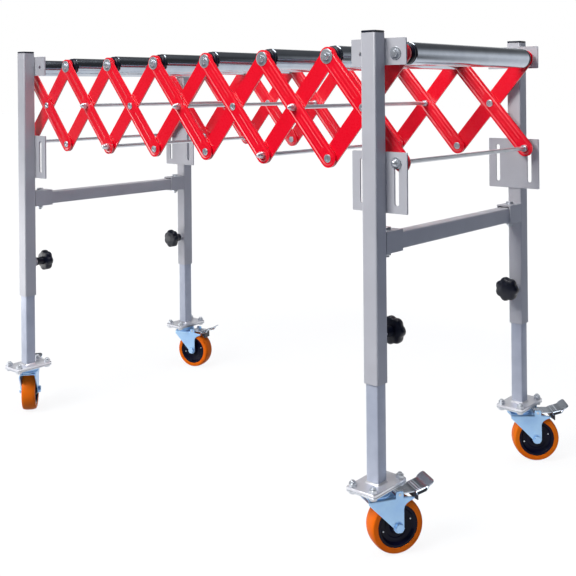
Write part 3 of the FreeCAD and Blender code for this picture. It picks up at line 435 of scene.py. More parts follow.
METALS = {
    "roller_steel": dict(low=(0.41, 0.46, 0.54), high=(0.47, 0.52, 0.60), rough=(0.10, 0.20),
                         drawn=(260.0, 8.0, 260.0), depth=0.04),
    "zinc": dict(low=(0.58, 0.61, 0.65), high=(0.70, 0.73, 0.77), rough=(0.24, 0.34),
                 drawn=(500.0, 500.0, 500.0), depth=0.004, Metallic=0.76),
    "plate_zinc": dict(low=(0.77, 0.77, 0.81), high=(0.87, 0.87, 0.91), rough=(0.26, 0.38),
                       drawn=(160.0, 160.0, 160.0), Metallic=0.70),
    "pedal_chrome": dict(low=(0.44, 0.49, 0.57), high=(0.54, 0.59, 0.67), rough=(0.14, 0.24),
                         drawn=(300.0, 300.0, 300.0), Metallic=0.95),
    "bright_tube": dict(low=(0.42, 0.45, 0.53), high=(0.50, 0.53, 0.61), rough=(0.34, 0.46),
                        drawn=(700.0, 700.0, 10.0), Metallic=0.2),
    "fork_zinc": dict(low=(0.38, 0.62, 0.95), high=(0.48, 0.73, 1.00), rough=(0.30, 0.42),
                      drawn=(420.0, 420.0, 420.0), Metallic=0.65),
}
MATERIALS = {name: make_paint(name, **look) for name, look in PAINTS.items()}
MATERIALS |= {name: make_metal(name, **look) for name, look in METALS.items()}


# Pieces

SHARP_ANGLE = math.radians(32)
BEVEL_ANGLE = math.radians(50)


def add_bevel(piece, name, width):
    """Breaks a piece's sharp edges."""
    bevel = piece.modifiers.new(name, "BEVEL")
    bevel.width = width
    bevel.segments = 2
    bevel.limit_method = "ANGLE"
    bevel.angle_limit = BEVEL_ANGLE


def make_piece(name, grids, body, slot, replaced=(), finish=None, sheet=None):
    """One piece from its grids: seams and poles merged, faces turned outwards, smooth between sharp edges.

    It has its slot's material unless a finish is named. A sheet's grid gets a thickness and broken edges.
    """
    points = np.concatenate([grid.reshape(-1, 3) for grid in grids])
    quads = []
    start = 0
    for grid in grids:
        rows, columns = grid.shape[:2]
        index = np.arange(start, start + rows * columns).reshape(rows, columns)
        corners = [index[:-1, :-1], index[:-1, 1:], index[1:, 1:], index[1:, :-1]]
        quads.append(np.stack(corners, axis=-1).reshape(-1, 4))
        start += rows * columns
    quads = np.concatenate(quads)
    mesh = bpy.data.meshes.new(name)
    mesh.vertices.add(len(points))
    mesh.vertices.foreach_set("co", points.astype(np.float32).ravel())
    mesh.loops.add(quads.size)
    mesh.loops.foreach_set("vertex_index", quads.ravel().astype(np.int32))
    mesh.polygons.add(len(quads))
    mesh.polygons.foreach_set("loop_start", np.arange(0, quads.size, 4, dtype=np.int32))
    mesh.update(calc_edges=True)
    weld = bmesh.new()
    weld.from_mesh(mesh)
    bmesh.ops.remove_doubles(weld, verts=weld.verts, dist=1e-6)
    bmesh.ops.recalc_face_normals(weld, faces=weld.faces)
    weld.to_mesh(mesh)
    weld.free()
    mesh.polygons.foreach_set("use_smooth", np.ones(len(mesh.polygons), dtype=bool))
    mesh.set_sharp_from_angle(angle=SHARP_ANGLE)
    mesh.materials.append(MATERIALS[finish or slot])
    piece = bpy.data.objects.new(name, mesh)
    bpy.context.scene.collection.objects.link(piece)
    if sheet:
        thickness = piece.modifiers.new("sheet", "SOLIDIFY")
        thickness.thickness = sheet
        thickness.offset = 0
        add_bevel(piece, "rim", sheet / 4)
    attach(piece, body)
    if replaced:
        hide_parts(*replaced)


# Scissor bed

def bar_grid():
    """Pressed bar along x: rings of a stadium from the middle of the front over the rim to the back.

    Every ring lies one inset inside the outline. The front's height is the thickness, less a smooth step
    down to the rim, less two long flat grooves with smooth walls and round ends. The back is plain.
    """
    pitch = np.linalg.norm(TOPS[0] - BOTTOMS[1])
    half = BAR_WIDTH / 2
    low = GROOVE_FROM_HOLE
    high = pitch / 2 - GROOVE_FROM_HOLE
    past_hole = 0.008
    caps = [np.linspace(start, start + GROOVE_HALF, 9) for start in (low - GROOVE_HALF, high)]
    run = np.linspace(low, high, 8)[1:-1]
    reach = np.concatenate([[0, past_hole], caps[0], run, caps[1], [pitch / 2]])
    straight = np.concatenate([-reach[:0:-1], reach])
    bow = np.linspace(TAU / 4, -TAU / 4, 17)[1:-1]
    end = 0 * bow + pitch / 2
    centre = np.concatenate([straight, end, straight[::-1], -end, straight[:1]])
    turn = np.concatenate([0 * straight + TAU / 4, bow, 0 * straight - TAU / 4, bow - TAU / 2, [TAU / 4]])
    groove_walls = half - GROOVE_HALF + np.linspace(GROOVE_WALL, 0, 9)
    rim_walls = RIM_WIDTH - np.linspace(0, RIM_WALL, 13)
    front_insets = np.concatenate([[half], groove_walls, rim_walls, [0]])
    back_insets = np.array([0, half / 2, half])
    inset = np.concatenate([front_insets, back_insets])[:, None]
    x = centre + (half - inset) * np.cos(turn)
    z = (half - inset) * np.sin(turn)
    rim = RIM_DEPTH * smooth((RIM_WIDTH - inset) / RIM_WALL)
    from_groove = np.hypot(np.maximum(abs(abs(x) - pitch / 4) - (high - low) / 2, 0), z)
    groove = GROOVE_DEPTH * smooth((GROOVE_HALF - from_groove) / GROOVE_WALL)
    is_front = np.arange(len(inset))[:, None] < len(front_insets)
    height = np.where(is_front, BAR_THICKNESS - rim - groove, 0)
    return np.stack([x, height, z], axis=-1)


def add_bars():
    """Falling and rising pairs of each cell: one bar on the near side and one on the far side."""
    shape = bar_grid()
    for cell in range(CELLS):
        number = cell + 1
        runs = {"falling": (TOPS[cell], BOTTOMS[cell + 1]), "rising": (BOTTOMS[cell], TOPS[cell + 1])}
        for kind, (start, end) in runs.items():
            along = (end - start) / np.linalg.norm(end - start)
            across = np.array([-along[2], 0, along[0]])
            grids = []
            for level, side in BAR_LEVELS[kind]:
                origin = MIDDLES[cell] + np.array([0, level, 0])
                grids.append(placed(shape, origin, along, (0, side, 0), across))
            make_piece(f"{kind}_bar_pair_{number}", grids, f"{kind}_{number}", "bar_paint",
                       replaced=(f"{kind}_bars_{number}",))


def washer_between_bars():
    """Thin washer in the gap of the two layers."""
    return disc(THIN_WASHER, INNER_BAR[1] + TOUCH, OUTER_BAR[0] - TOUCH)


def axle_end():
    """End of a roller axle: collar, washer between the bars, broad washer, hex head and bolt end."""
    seat = LATTICE_HALF + TOUCH
    head = seat + WASHER_THICKNESS
    tip = head + HEAD_HEIGHT
    flange = [(0, 0), (FLANGE_RADIUS, 0), (FLANGE_RADIUS, 0.0015), (0.0118, WASHER_THICKNESS),
              (0, WASHER_THICKNESS)]
    bolt_end = [(0, 0), (PIN_RADIUS, 0), (PIN_RADIUS, 0.0008), (0.0026, 0.0012), (0, 0.0006)]
    return [
        disc(COLLAR_RADIUS, ROLLER_HALF + PLAY, INNER_BAR[0] - PLAY),
        washer_between_bars(),
        lathe(eased(raised(flange, seat), 0.0004), 48),
        hexagon(HEAD_FLATS, head, tip),
        lathe(eased(raised(bolt_end, tip), 0.0003)),
    ]


def rivet_head():
    """Round head about Y with a hexagonal dimple.

    Rings are (radius, hexagonal or not, level), and go from circles to hexagons towards the middle.
    """
    angle = np.linspace(0, TAU, 49)
    rings = [(0.0075, 0, 0), (0.0075, 0, 0.0008), (0.0064, 0, 0.0020), (0.0050, 0, 0.0020),
             (0.0040, 1, 0.0019), (0.0036, 1, 0.0004), (0, 1, 0.0004)]
    size, is_hex, level = np.array(rings).T[:, :, None]
    radius = size * np.where(is_hex, hex_reach(angle), 1)
    return np.stack([radius * np.cos(angle), level + 0 * angle, radius * np.sin(angle)], axis=-1)


def rivet_end():
    """Outer and inner head of a rivet and the washer between the bars."""
    outer = placed(rivet_head(), (0, LATTICE_HALF + TOUCH, 0))
    inner = placed(rivet_head(), (0, INNER_BAR[0] - TOUCH, 0), out=(0, -1, 0))
    return [outer, inner, washer_between_bars()]


def dome_nut(low, base, dome):
    """Hex base of a dome nut from a level outwards, and its crown: a quarter ellipse turned round Y."""
    angle = np.linspace(0, TAU / 4, 11)
    crown = np.stack([DOME_RADIUS * np.cos(angle), low + base + dome * np.sin(angle)], axis=-1)
    return [hexagon(NUT_FLATS, low, low + base), lathe(np.concatenate([[(0, low + base)], crown]), 32)]


def rod_end():
    """End of a cross rod: nut inside the bars, washer between them and a tall dome nut outside."""
    inner = INNER_BAR[0] - TOUCH
    nut = hexagon(NUT_FLATS, inner - NUT_HEIGHT, inner)
    return [nut, washer_between_bars()] + dome_nut(LATTICE_HALF + TOUCH, *TALL_NUT)


def slot_rod_end(bar_in, bar_out):
    """End of a rod that slides in a leg's slot: collar, spacer up to the plate, washer and dome nut."""
    collar = bar_in - TOUCH
    washer = LEG_FACE + PLAY
    seat = washer + WASHER_THICKNESS
    return [
        disc(COLLAR_RADIUS, collar - NUT_HEIGHT, collar),
        disc(COLLAR_RADIUS, bar_out + TOUCH, LEG_FACE - PLATE_THICKNESS - PLAY),
        disc(SLOT_WASHER, washer, seat, WASHER_EASE),
    ] + dome_nut(seat, *LOW_NUT)


def end_axle_end(bar_in, bar_out, gap):
    """End of an end roller's axle: collar, spacer up to the leg's plate, washer, hex head and bolt end."""
    washer = LEG_FACE + gap
    seat = washer + WASHER_THICKNESS
    tip = seat + LOW_HEAD
    return [
        disc(COLLAR_RADIUS, ROLLER_HALF + PLAY, bar_in - TOUCH),
        disc(COLLAR_RADIUS, bar_out + TOUCH, LEG_FACE - PLATE_THICKNESS - gap),
        disc(END_WASHER, washer, seat, WASHER_EASE),
        hexagon(NUT_FLATS, seat, tip),
        disc(PIN_RADIUS, tip, tip + 0.0011),
    ]


def add_pins():
    """Axles, rods and rivets: a cell's on its falling bars, those of the two ends on what holds them."""
    core = shaft(AXLE_RADIUS, ROLLER_HALF + PLAY)
    pin = shaft(PIN_RADIUS, LATTICE_HALF)
    long_pin = shaft(PIN_RADIUS, LEG_FACE)
    axle = both_sides(axle_end()) + core + pin
    rivet = both_sides(rivet_end())
    rod = both_sides(rod_end()) + pin
    left_axle = mirrored(end_axle_end(*OUTER_BAR, PLAY)) + end_axle_end(*INNER_BAR, PLAY) + core + long_pin
    right_axle = mirrored(end_axle_end(*INNER_BAR, 0)) + end_axle_end(*OUTER_BAR, 0) + core + long_pin
    left_rod = mirrored(slot_rod_end(*INNER_BAR)) + slot_rod_end(*OUTER_BAR) + long_pin
    right_rod = mirrored(slot_rod_end(*OUTER_BAR)) + slot_rod_end(*INNER_BAR) + long_pin
    for cell in range(CELLS):
        number = cell + 1
        grids = at(left_axle if cell == 0 else axle, TOPS[cell])
        grids += at(rod if cell in ROD_MIDDLES else rivet, MIDDLES[cell])
        if number == CELLS:
            grids += at(right_rod, BOTTOMS[number])
        else:
            grids += at(rod if number in ROD_BOTTOMS else rivet, BOTTOMS[number])
        make_piece(f"pivot_hardware_{number}", grids, f"falling_{number}", "zinc",
                   (f"pivot_pins_{number}",))
    make_piece("left_slide_rod", at(left_rod, BOTTOMS[0]), "rising_1", "zinc")
    make_piece("right_axle_hardware", at(right_axle, TOPS[-1]), "right_frame", "zinc", ("right_axle",))


def add_rollers():
    """Rollers: a turned tube with drawn-in ends, and a stepped black cap round the axle at each end."""
    end = ROLLER_HALF - CAP_LIP
    bore = 0.0170
    neck = 0.0192
    hub = 0.0052
    drawn_in = [(ROLLER_RADIUS, end - 0.0012), (neck, end), (bore, end)]
    wall = [(radius, -along) for radius, along in drawn_in[::-1]] + drawn_in
    tube = lathe(wall, 72)
    lip = [
        (neck, -0.0005), (neck, 0.0012), (0.0182, 0.0016), (0.0182, 0.0024), (0.0190, 0.0030),
        (0.0190, 0.0070), (0.0172, CAP_LIP), (0.0130, CAP_LIP), (0.0120, 0.0066), (0.0085, 0.0066),
        (0.0080, 0.0080), (hub, 0.0080), (hub, 0),
    ]
    caps = both_sides([lathe(eased(raised(lip, end), 0.0004), 56)])
    for number, top in enumerate(TOPS, start=1):
        body = f"roller_{number}"
        make_piece(f"roller_tube_{number}", at([tube], top), body, "roller_steel", (f"roller_{number}",))
        make_piece(f"roller_caps_{number}", at(caps, top), body, "roller_steel", finish="black_plastic")


# End frames

def dress_legs():
    """The legs keep their CAD solids: painted, with the edges broken a little."""
    for end in ENDS:
        legs = frame["nodes"][f"{end}_legs"]
        legs.data.materials.clear()
        legs.data.materials.append(MATERIALS["leg_paint"])
        merge = legs.modifiers.new("merge", "WELD")
        merge.merge_threshold = 0.00001
        add_bevel(legs, "edge", 0.0005)


def add_plugs(end, middle, top):
    """Plugs of one frame's leg tops: a cap as wide as the tube on a stem that fills it."""
    stem = 0.0258
    cap_height = 0.004
    stem_depth = 0.012
    plug = [
        slab(LEG_SIZE, LEG_SIZE, 0.003, top, top + cap_height, 0.0012),
        slab(stem, stem, 0.001, top - stem_depth, top + 0.001),
    ]
    plugs = [grid for side in (-1, 1) for grid in at(plug, (middle[0], middle[1] + side * LEG_LINE, 0))]
    make_piece(f"{end}_plugs", plugs, f"{end}_frame", "black_plastic", (f"{end}_leg_plugs",))


def add_crossbar(end, middle):
    """Crossbar of one frame, a square tube along Y, and the bolts that stand in the sleeves at its ends."""
    body = f"{end}_frame"
    bar_low, bar_high = (np.array(corner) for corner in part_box(f"{end}_crossbar"))
    half = (bar_high[1] - bar_low[1]) / 2
    beam = square_tube(*CROSSBAR_SIZE, TUBE_CORNER, CROSSBAR_WALL, -half, half)
    beam = placed(beam, (middle[0], middle[1], CROSSBAR_HEIGHT), up=(0, 1, 0), out=(0, 0, 1))
    make_piece(f"{end}_crossbar_tube", [beam], body, "leg_paint", (f"{end}_crossbar",))
    sleeve_low = CROSSBAR_HEIGHT - SLEEVE_BELOW
    sleeve_high = CROSSBAR_HEIGHT + SLEEVE_ABOVE
    washer_radius, washer = SLEEVE_WASHER
    head = sleeve_high + washer
    bolt = [
        hexagon(HEAD_FLATS, head, head + HEAD_HEIGHT),
        disc(washer_radius, sleeve_high, head),
        hexagon(NUT_FLATS, sleeve_low - NUT_HEIGHT, sleeve_low),
        disc(PIN_RADIUS, sleeve_low - BOLT_TIP, sleeve_high),
    ]
    bolts = []
    for side in (-1, 1):
        place = (middle[0], middle[1] + side * (LEG_FACE - SLEEVE_BOLT), 0)
        bolts += at([upright(grid) for grid in bolt], place)
    make_piece(f"{end}_crossbar_bolts", bolts, body, "zinc")


def add_frame_trim(end):
    """Plugs and crossbar of one end frame, set out from the box of its legs."""
    low, high = (np.array(corner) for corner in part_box(f"{end}_legs"))
    middle = (low + high) / 2
    add_plugs(end, middle, high[2])
    add_crossbar(end, middle)


def star_knob():
    """Lobed grip about Y with a domed front: radius = valley + rise |cos(7 a / 2)|, soft in the valleys."""
    lobes = 7
    valley = 0.0216
    rise = 0.0034
    softness = 0.03
    angle = np.linspace(0, TAU, 20 * lobes + 1)
    outline = valley + rise * np.sqrt((np.cos(lobes * angle / 2) ** 2 + softness) / (1 + softness))
    side = np.array([(0, 0), (0.76, 0), (0.92, 0.0012), (0.99, 0.0034), (1, 0.0056), (1, 0.0104),
                     (0.975, 0.0134), (0.91, 0.0154), (0.80, 0.0166)])
    dome = np.array([(0.0150, 0.0174), (0.0110, 0.0181), (0.0095, 0.0186), (0.0060, 0.0189), (0, 0.0190)])
    radius = np.concatenate([side[:, :1] * outline, dome[:, :1] + 0 * angle])
    along = np.concatenate([side, dome])[:, 1:] + 0 * angle
    return np.stack([radius * np.cos(angle), along, radius * np.sin(angle)], axis=-1)


def add_knob(place):
    """Star knob on a waisted collar, and the clamp stud that reaches from it to the inner leg."""
    side = 1 if place.startswith("near") else -1
    leg = spot(f"knob_turn_{place}") - np.array([0, side * KNOB_JOINT, 0])
    low = KNOB_BOSS + PLAY
    seat = KNOB_BOSS + KNOB_COLLAR
    waist = [(0, low), (0.0105, low), (0.0092, low + 0.006), (0.0100, seat), (0, seat)]
    grip = [lathe(eased(waist, 0.0006)), placed(star_knob(), (0, seat, 0))]
    grip = [placed(grid, leg, out=(0, side, 0)) for grid in grip]
    make_piece(f"star_knob_{place}", grip, f"knob_{place}", "black_plastic", (f"knob_{place}",))
    stud = placed(disc(PIN_RADIUS, INNER_SIZE / 2 + PLAY, low + TOUCH), leg, out=(0, side, 0))
    make_piece(f"clamp_stud_{place}", [stud], f"knob_{place}", "black_plastic", finish="zinc")


def add_inner_leg(place):
    """Inner tube, base plate with a weld bead, and the caster's top plate with four bolts through both."""
    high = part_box(f"inner_leg_{place}")[1]
    foot = swivel_foot(place)
    body = f"inner_leg_{place}"
    tube = square_tube(INNER_SIZE, INNER_SIZE, TUBE_CORNER, INNER_WALL, BASE_TOP, high.z)
    make_piece(f"inner_tube_{place}", at([tube], foot), body, "bright_tube", (body,))
    base = slab(*BASE_SIZE, BASE_CORNER, BASE_LOW, BASE_TOP)
    bead = [(-0.0030, BASE_TOP), (-0.0022, BASE_TOP + 0.0012), (0, BASE_TOP + 0.0028)]
    weld = stacked(*round_box(INNER_SIZE, INNER_SIZE, TUBE_CORNER), bead)
    make_piece(f"base_plate_{place}", at([base, weld], foot), body, "bright_tube", finish="plate_zinc")
    nut_top = BASE_TOP + NUT_HEIGHT
    bolt = [
        disc(COLLAR_RADIUS, CASTER_PLATE_LOW - ROUND_HEAD, CASTER_PLATE_LOW, 0.001),
        hexagon(NUT_FLATS, BASE_TOP, nut_top),
        disc(PIN_RADIUS, nut_top - 0.001, BASE_TOP + BOLT_TIP, 0.0008),
    ]
    top_plate = slab(*BASE_SIZE, BASE_CORNER, CASTER_PLATE_LOW, BASE_LOW, 0.0006)
    king_pin_head = upright(disc(*KING_PIN_HEAD, 0.0012))
    hardware = [top_plate, king_pin_head]
    for x in (-BOLT_SPREAD[0], BOLT_SPREAD[0]):
        for y in (-BOLT_SPREAD[1], BOLT_SPREAD[1]):
            hardware += at([upright(grid) for grid in bolt], (x, y, 0))
    make_piece(f"caster_top_plate_{place}", at(hardware, foot), body, "bright_tube", finish="zinc")


# Casters

def fork_sheet():
    """Sheet bent to a U: up one cheek, round a bend, across the crown and down the other cheek.

    A row is one step along the U's section in y and z. A column runs from the sheet's front edge to its
    back edge at that height: the cheeks taper to a round foot about the wheel's axle, and a hollow throat
    leads from the foot's back edge out to the shelf under the pedal.
    """
    crown = 0.1005
    bend = 0.005
    foot = 0.0095
    front_end = -0.022
    back_end = 0.061
    crown_end = 0.027
    nose = 0.092
    throat_heights = [0.0780, 0.0820, 0.0860, 0.0890, 0.0915, 0.0935]
    throat_places = [0.0415, 0.0425, 0.0455, 0.0500, 0.0560, back_end]
    quarter = np.linspace(0, TAU / 4, 7)
    climb = WHEEL_RADIUS - foot + (crown - bend - WHEEL_RADIUS + foot) * np.linspace(0, 1, 48) ** 1.25
    cheek = np.stack([0 * climb - FORK_SIDE, climb], axis=-1)
    corner_y = bend * (1 - np.cos(quarter)) - FORK_SIDE
    corner_z = crown + bend * (np.sin(quarter) - 1)
    half = np.concatenate([cheek, np.stack([corner_y, corner_z], axis=-1)[1:]])
    section = np.concatenate([half, [(0, crown)], half[::-1] * np.array([-1, 1])])
    z = section[:, 1]
    round_foot = np.sqrt(np.maximum(foot ** 2 - (z - WHEEL_RADIUS) ** 2, 0))
    slope = (z - WHEEL_RADIUS) / (nose - WHEEL_RADIUS)
    taper = np.maximum(TRAIL - foot + (front_end - TRAIL + foot) * slope, front_end)
    front = np.where(z < WHEEL_RADIUS, TRAIL - round_foot, taper)
    throat = np.interp(z, throat_heights, throat_places)
    back = np.where(z < WHEEL_RADIUS, TRAIL + round_foot, throat)
    is_over = np.abs(section[:, 0]) < FORK_SIDE - 1e-6
    lift = np.clip((z - crown + bend) / bend, 0, 1)
    back = np.where(is_over, back_end + (crown_end - back_end) * smooth(lift), back)
    t = np.linspace(0, 1, 17)
    x = front[:, None] + (back - front)[:, None] * t
    return np.stack([x, section[:, :1] + 0 * t, z[:, None] + 0 * t], axis=-1)


def ear_plate(side):
    """Ear that holds the pedal's pin: a small slab that stands on one cheek."""
    length = 0.014
    height = 0.015
    middle = 0.1008
    ear = slab(length, height, 0.003, -FORK_THICKNESS / 2, FORK_THICKNESS / 2, 0.0004)
    return placed(ear, (PEDAL_PIVOT[0], side * FORK_SIDE, middle), out=(0, 0, 1), up=(0, 1, 0))


def swivel_race():
    """Ball race between fork and top plate: a ring with a groove round its waist, open in the middle."""
    profile = [(0.0064, 0.1020), (0.0205, 0.1020), (0.0240, 0.1035), (0.0240, 0.1055), (0.0212, 0.1068),
               (0.0212, 0.1082), (0.0236, 0.1094), (0.0236, 0.1127), (0.0205, 0.1137), (0.0064, 0.1137),
               (0.0064, 0.1020)]
    return upright(lathe(eased(profile, 0.0005), 64))


def pedal_sheet():
    """Stamped pedal: rows follow its side view and columns cross it.

    The side view is a level tongue, a tread that climbs and an upturned tip, with the bends averaged out.
    The tread is wider than the tongue, has its edges turned down and three ridges pressed across it, and
    its tip has round corners.
    """
    side_x = [0.028, 0.062, 0.083, 0.098]
    side_rise = [0, 0, 0.0060, 0.0160]
    tongue_half = 0.0160
    tread_half = 0.0228
    tread_start = 0.0618
    corner = 0.006
    ridge_height = 0.0010
    ridge_pitch = 0.0042
    ridge_middle = 0.0710
    flange_depth = 0.0050
    flange_start = 0.0630
    flange_end = 0.088
    steps = 141
    window = 15
    x = np.linspace(side_x[0], side_x[-1], steps)
    margin = (window // 2) * (x[1] - x[0])
    bends = np.interp(np.linspace(x[0] - margin, x[-1] + margin, steps + window - 1), side_x, side_rise)
    rise = np.convolve(bends, np.ones(window) / window, mode="valid")[:, None]
    x = x[:, None]
    t = np.linspace(-1, 1, 45)
    past = np.clip(x - x[-1] + corner, 0, corner)
    half = tongue_half + (tread_half - tongue_half) * smooth((x - tread_start) / 0.0035)
    half = half - corner + np.sqrt(corner ** 2 - past ** 2)
    ridges = ridge_height * smooth(1.2 * np.cos(TAU * (x - ridge_middle) / ridge_pitch) - 0.1)
    ridges = ridges * (np.abs(x - ridge_middle) < 1.5 * ridge_pitch) * smooth((0.84 - np.abs(t)) / 0.08)
    flange = flange_depth * smooth((np.abs(t) - 0.88) / 0.12)
    flange = flange * smooth((x - flange_start) / 0.003) * smooth((flange_end - x) / 0.006)
    z = PEDAL_PIVOT[1] + rise + ridges - flange
    return np.stack([x + 0 * t, half * t, z], axis=-1)


def brake_shoe():
    """Wedge under the tread that faces the tyre: its side view carried across between two levels of y."""
    half = 0.012
    side_view = np.array([(0.0610, 0.0925), (0.0614, 0.0919), (0.0712, 0.0852), (0.0720, 0.0856),
                          (0.0720, 0.1040), (0.0610, 0.1025), (0.0610, 0.0925)])
    middle = np.broadcast_to(side_view[:-1].mean(axis=0), side_view.shape)
    rows = []
    for view, y in ((middle, -half), (side_view, -half), (side_view, half), (middle, half)):
        rows.append(np.stack([view[:, 0], np.full(len(view), y), view[:, 1]], axis=-1))
    return np.stack(rows)


def tyre_ring():
    """Tyre round the axle: seat, straight shoulders, and a crown that rises as sqrt(1 - |y|^2.6)."""
    half = WHEEL_WIDTH / 2
    crown = 0.004
    shoulder = WHEEL_RADIUS - crown
    side = shoulder - 0.003
    along = np.sin(np.linspace(-TAU / 4, TAU / 4, 25))
    radius = shoulder + crown * np.sqrt(np.maximum(1 - np.abs(along) ** 2.6, 0))
    tread = np.stack([radius, half * along], axis=-1)
    seat = [(HUB_RADIUS, half), (HUB_RADIUS, -half), (side, -half)]
    return lathe(np.concatenate([seat, tread, [(side, half), (HUB_RADIUS, half)]]), 96)


def hub_disc():
    """Hub about Y: boss, dished web with a faint step, and the rim that carries the tyre."""
    face = np.array([
        (0.0052, 0.0170), (0.0112, 0.0170), (0.0120, 0.0164), (0.0140, 0.0095), (0.0205, 0.0090),
        (0.0215, 0.0098), (0.0290, 0.0098), (0.0318, 0.0148), (0.0330, 0.0150), (HUB_RADIUS, 0.0150),
    ])
    profile = np.concatenate([face, face[::-1] * np.array([1, -1]), face[:1]])
    return lathe(eased(profile, 0.0006), 96)


def hub_rivets():
    """Two bright rivet heads on each face of the hub, opposite each other on a circle."""
    head = disc(0.0015, 0.0095, 0.0112, ease=0.0004, turns=16)
    circle = 0.0262
    first = 0.3
    heads = []
    for turn in (first, first + TAU / 2):
        heads.append(placed(head, (circle * math.cos(turn), 0, circle * math.sin(turn))))
    return both_sides(heads)


def add_caster(place):
    """Fork, pedal and wheel of one caster, turned to where the wheel trails."""
    foot = swivel_foot(place)
    wheel = spot(f"wheel_spin_{place}")
    trail = wheel - foot
    angle = math.atan2(trail[1], trail[0])

    def carried(grids):
        return [turned_about_z(grid, angle) + foot for grid in grids]

    def on_axle(grids):
        return [turned_about_z(grid, angle) + wheel for grid in grids]

    fork = f"fork_{place}"
    make_piece(f"fork_sheet_{place}", carried([fork_sheet()]), fork, "fork_zinc", (fork,),
               sheet=FORK_THICKNESS)
    ears = [ear_plate(side) for side in (-1, 1)]
    make_piece(f"swivel_race_{place}", carried(ears + [swivel_race()]), fork, "fork_zinc")
    cheek = FORK_SIDE + FORK_THICKNESS / 2
    head = cheek + 0.0055
    bolt = shaft(AXLE_RADIUS, cheek)
    bolt += [hexagon(HEAD_FLATS, cheek, head), hexagon(HEAD_FLATS, -head, -cheek)]
    make_piece(f"axle_bolt_{place}", on_axle(bolt), fork, "fork_zinc")
    pedal = f"pedal_{place}"
    make_piece(f"pedal_tread_{place}", carried([pedal_sheet()]), pedal, "fork_zinc", (pedal,),
               finish="pedal_chrome", sheet=PEDAL_THICKNESS)
    pin = at(shaft(*PEDAL_PIN), (PEDAL_PIVOT[0], 0, PEDAL_PIVOT[1]))
    make_piece(f"pedal_pin_{place}", carried(pin), pedal, "fork_zinc", finish="zinc")
    make_piece(f"brake_shoe_{place}", carried([brake_shoe()]), pedal, "fork_zinc", finish="black_plastic")
    body = f"wheel_{place}"
    make_piece(f"tyre_ring_{place}", on_axle([tyre_ring()]), body, "tyre_orange", (f"tyre_{place}",))
    make_piece(f"hub_disc_{place}", on_axle([hub_disc()]), body, "hub_black", (f"hub_{place}",))
    make_piece(f"hub_rivets_{place}", on_axle(hub_rivets()), body, "hub_black", finish="zinc")


# Stage and light

# Reflections see a white paper behind the table, towards VIEW_AXIS, and a dark room elsewhere
VIEW_AXIS = (-0.659, 0.752, 0)
VIEW_SPAN = (0.02, 0.40)
DARK_ROOM = 0.04
HAZE_HEIGHT = (0.05, 0.50)
HAZE_LEVEL = (1, 0.11)

# Light from all round on the object, as a level and a tint
FILL_LIGHT = 0.23
FILL_TINT = (0.76, 0.88, 1.22)

# Floor: distances from its middle over which a level changes, its colours, and its share over what is below
FLOOR_SIZE = 60
NEAR_FLOOR = (1.2, 2.4)
SHADOW_REACH = (0.8, 2.2)
SHADOW_GLOW = (0.30, 1.0)
FLOOR_PALE = (0.74, 0.75, 0.77, 1)
FLOOR_BOUNCE = (0.21, 0.24, 0.30, 1)
FLOOR_VEIL = 0.15


def feed(tree, socket, term):
    """Puts a number or another node's output into a socket."""
    if isinstance(term, (int, float)):
        socket.default_value = term
    else:
        tree.links.new(term, socket)


def add_math(tree, operation, first, second):
    """Result of a calculation on two sockets or numbers."""
    node = add_node(tree, "ShaderNodeMath", operation=operation)
    feed(tree, node.inputs[0], first)
    feed(tree, node.inputs[1], second)
    return node.outputs["Value"]


def ranged(tree, value, source, target):
    """A value carried smoothly from one range to another and held at its ends."""
    node = add_node(tree, "ShaderNodeMapRange", interpolation_type="SMOOTHSTEP", From_Min=source[0],
                    From_Max=source[1], To_Min=target[0], To_Max=target[1])
    tree.links.new(value, node.inputs["Value"])
    return node.outputs["Result"]


def either(tree, switch, off, on):
    """One value where a switch is 0 and another where it is 1."""
    node = add_node(tree, "ShaderNodeMix", data_type="FLOAT")
    tree.links.new(switch, node.inputs["Factor"])
    feed(tree, node.inputs[2], off)
    feed(tree, node.inputs[3], on)
    return node.outputs[0]


def mix_shaders(tree, share, off, on):
    """One shader where a switch or share is 0 and another where it is 1."""
    node = tree.nodes.new("ShaderNodeMixShader")
    feed(tree, node.inputs["Fac"], share)
    feed(tree, node.inputs[1], off)
    feed(tree, node.inputs[2], on)
    return node.outputs[0]


def behind_table(tree, vector):
    """0 to 1 as a direction turns towards what lies behind the table: its cosine carried over a span."""
    unit = add_node(tree, "ShaderNodeVectorMath", operation="NORMALIZE")
    toward = add_node(tree, "ShaderNodeVectorMath", operation="DOT_PRODUCT")
    toward.inputs[1].default_value = VIEW_AXIS
    tree.links.new(vector, unit.inputs[0])
    tree.links.new(unit.outputs["Vector"], toward.inputs[0])
    return ranged(tree, toward.outputs["Value"], VIEW_SPAN, (0, 1))


def seen_rays(tree, path):
    """1 for camera, glossy and transmission rays, 0 for the rays that light the object."""
    glossy = add_math(tree, "MAXIMUM", path.outputs["Is Camera Ray"], path.outputs["Is Glossy Ray"])
    return add_math(tree, "MAXIMUM", glossy, path.outputs["Is Transmission Ray"])


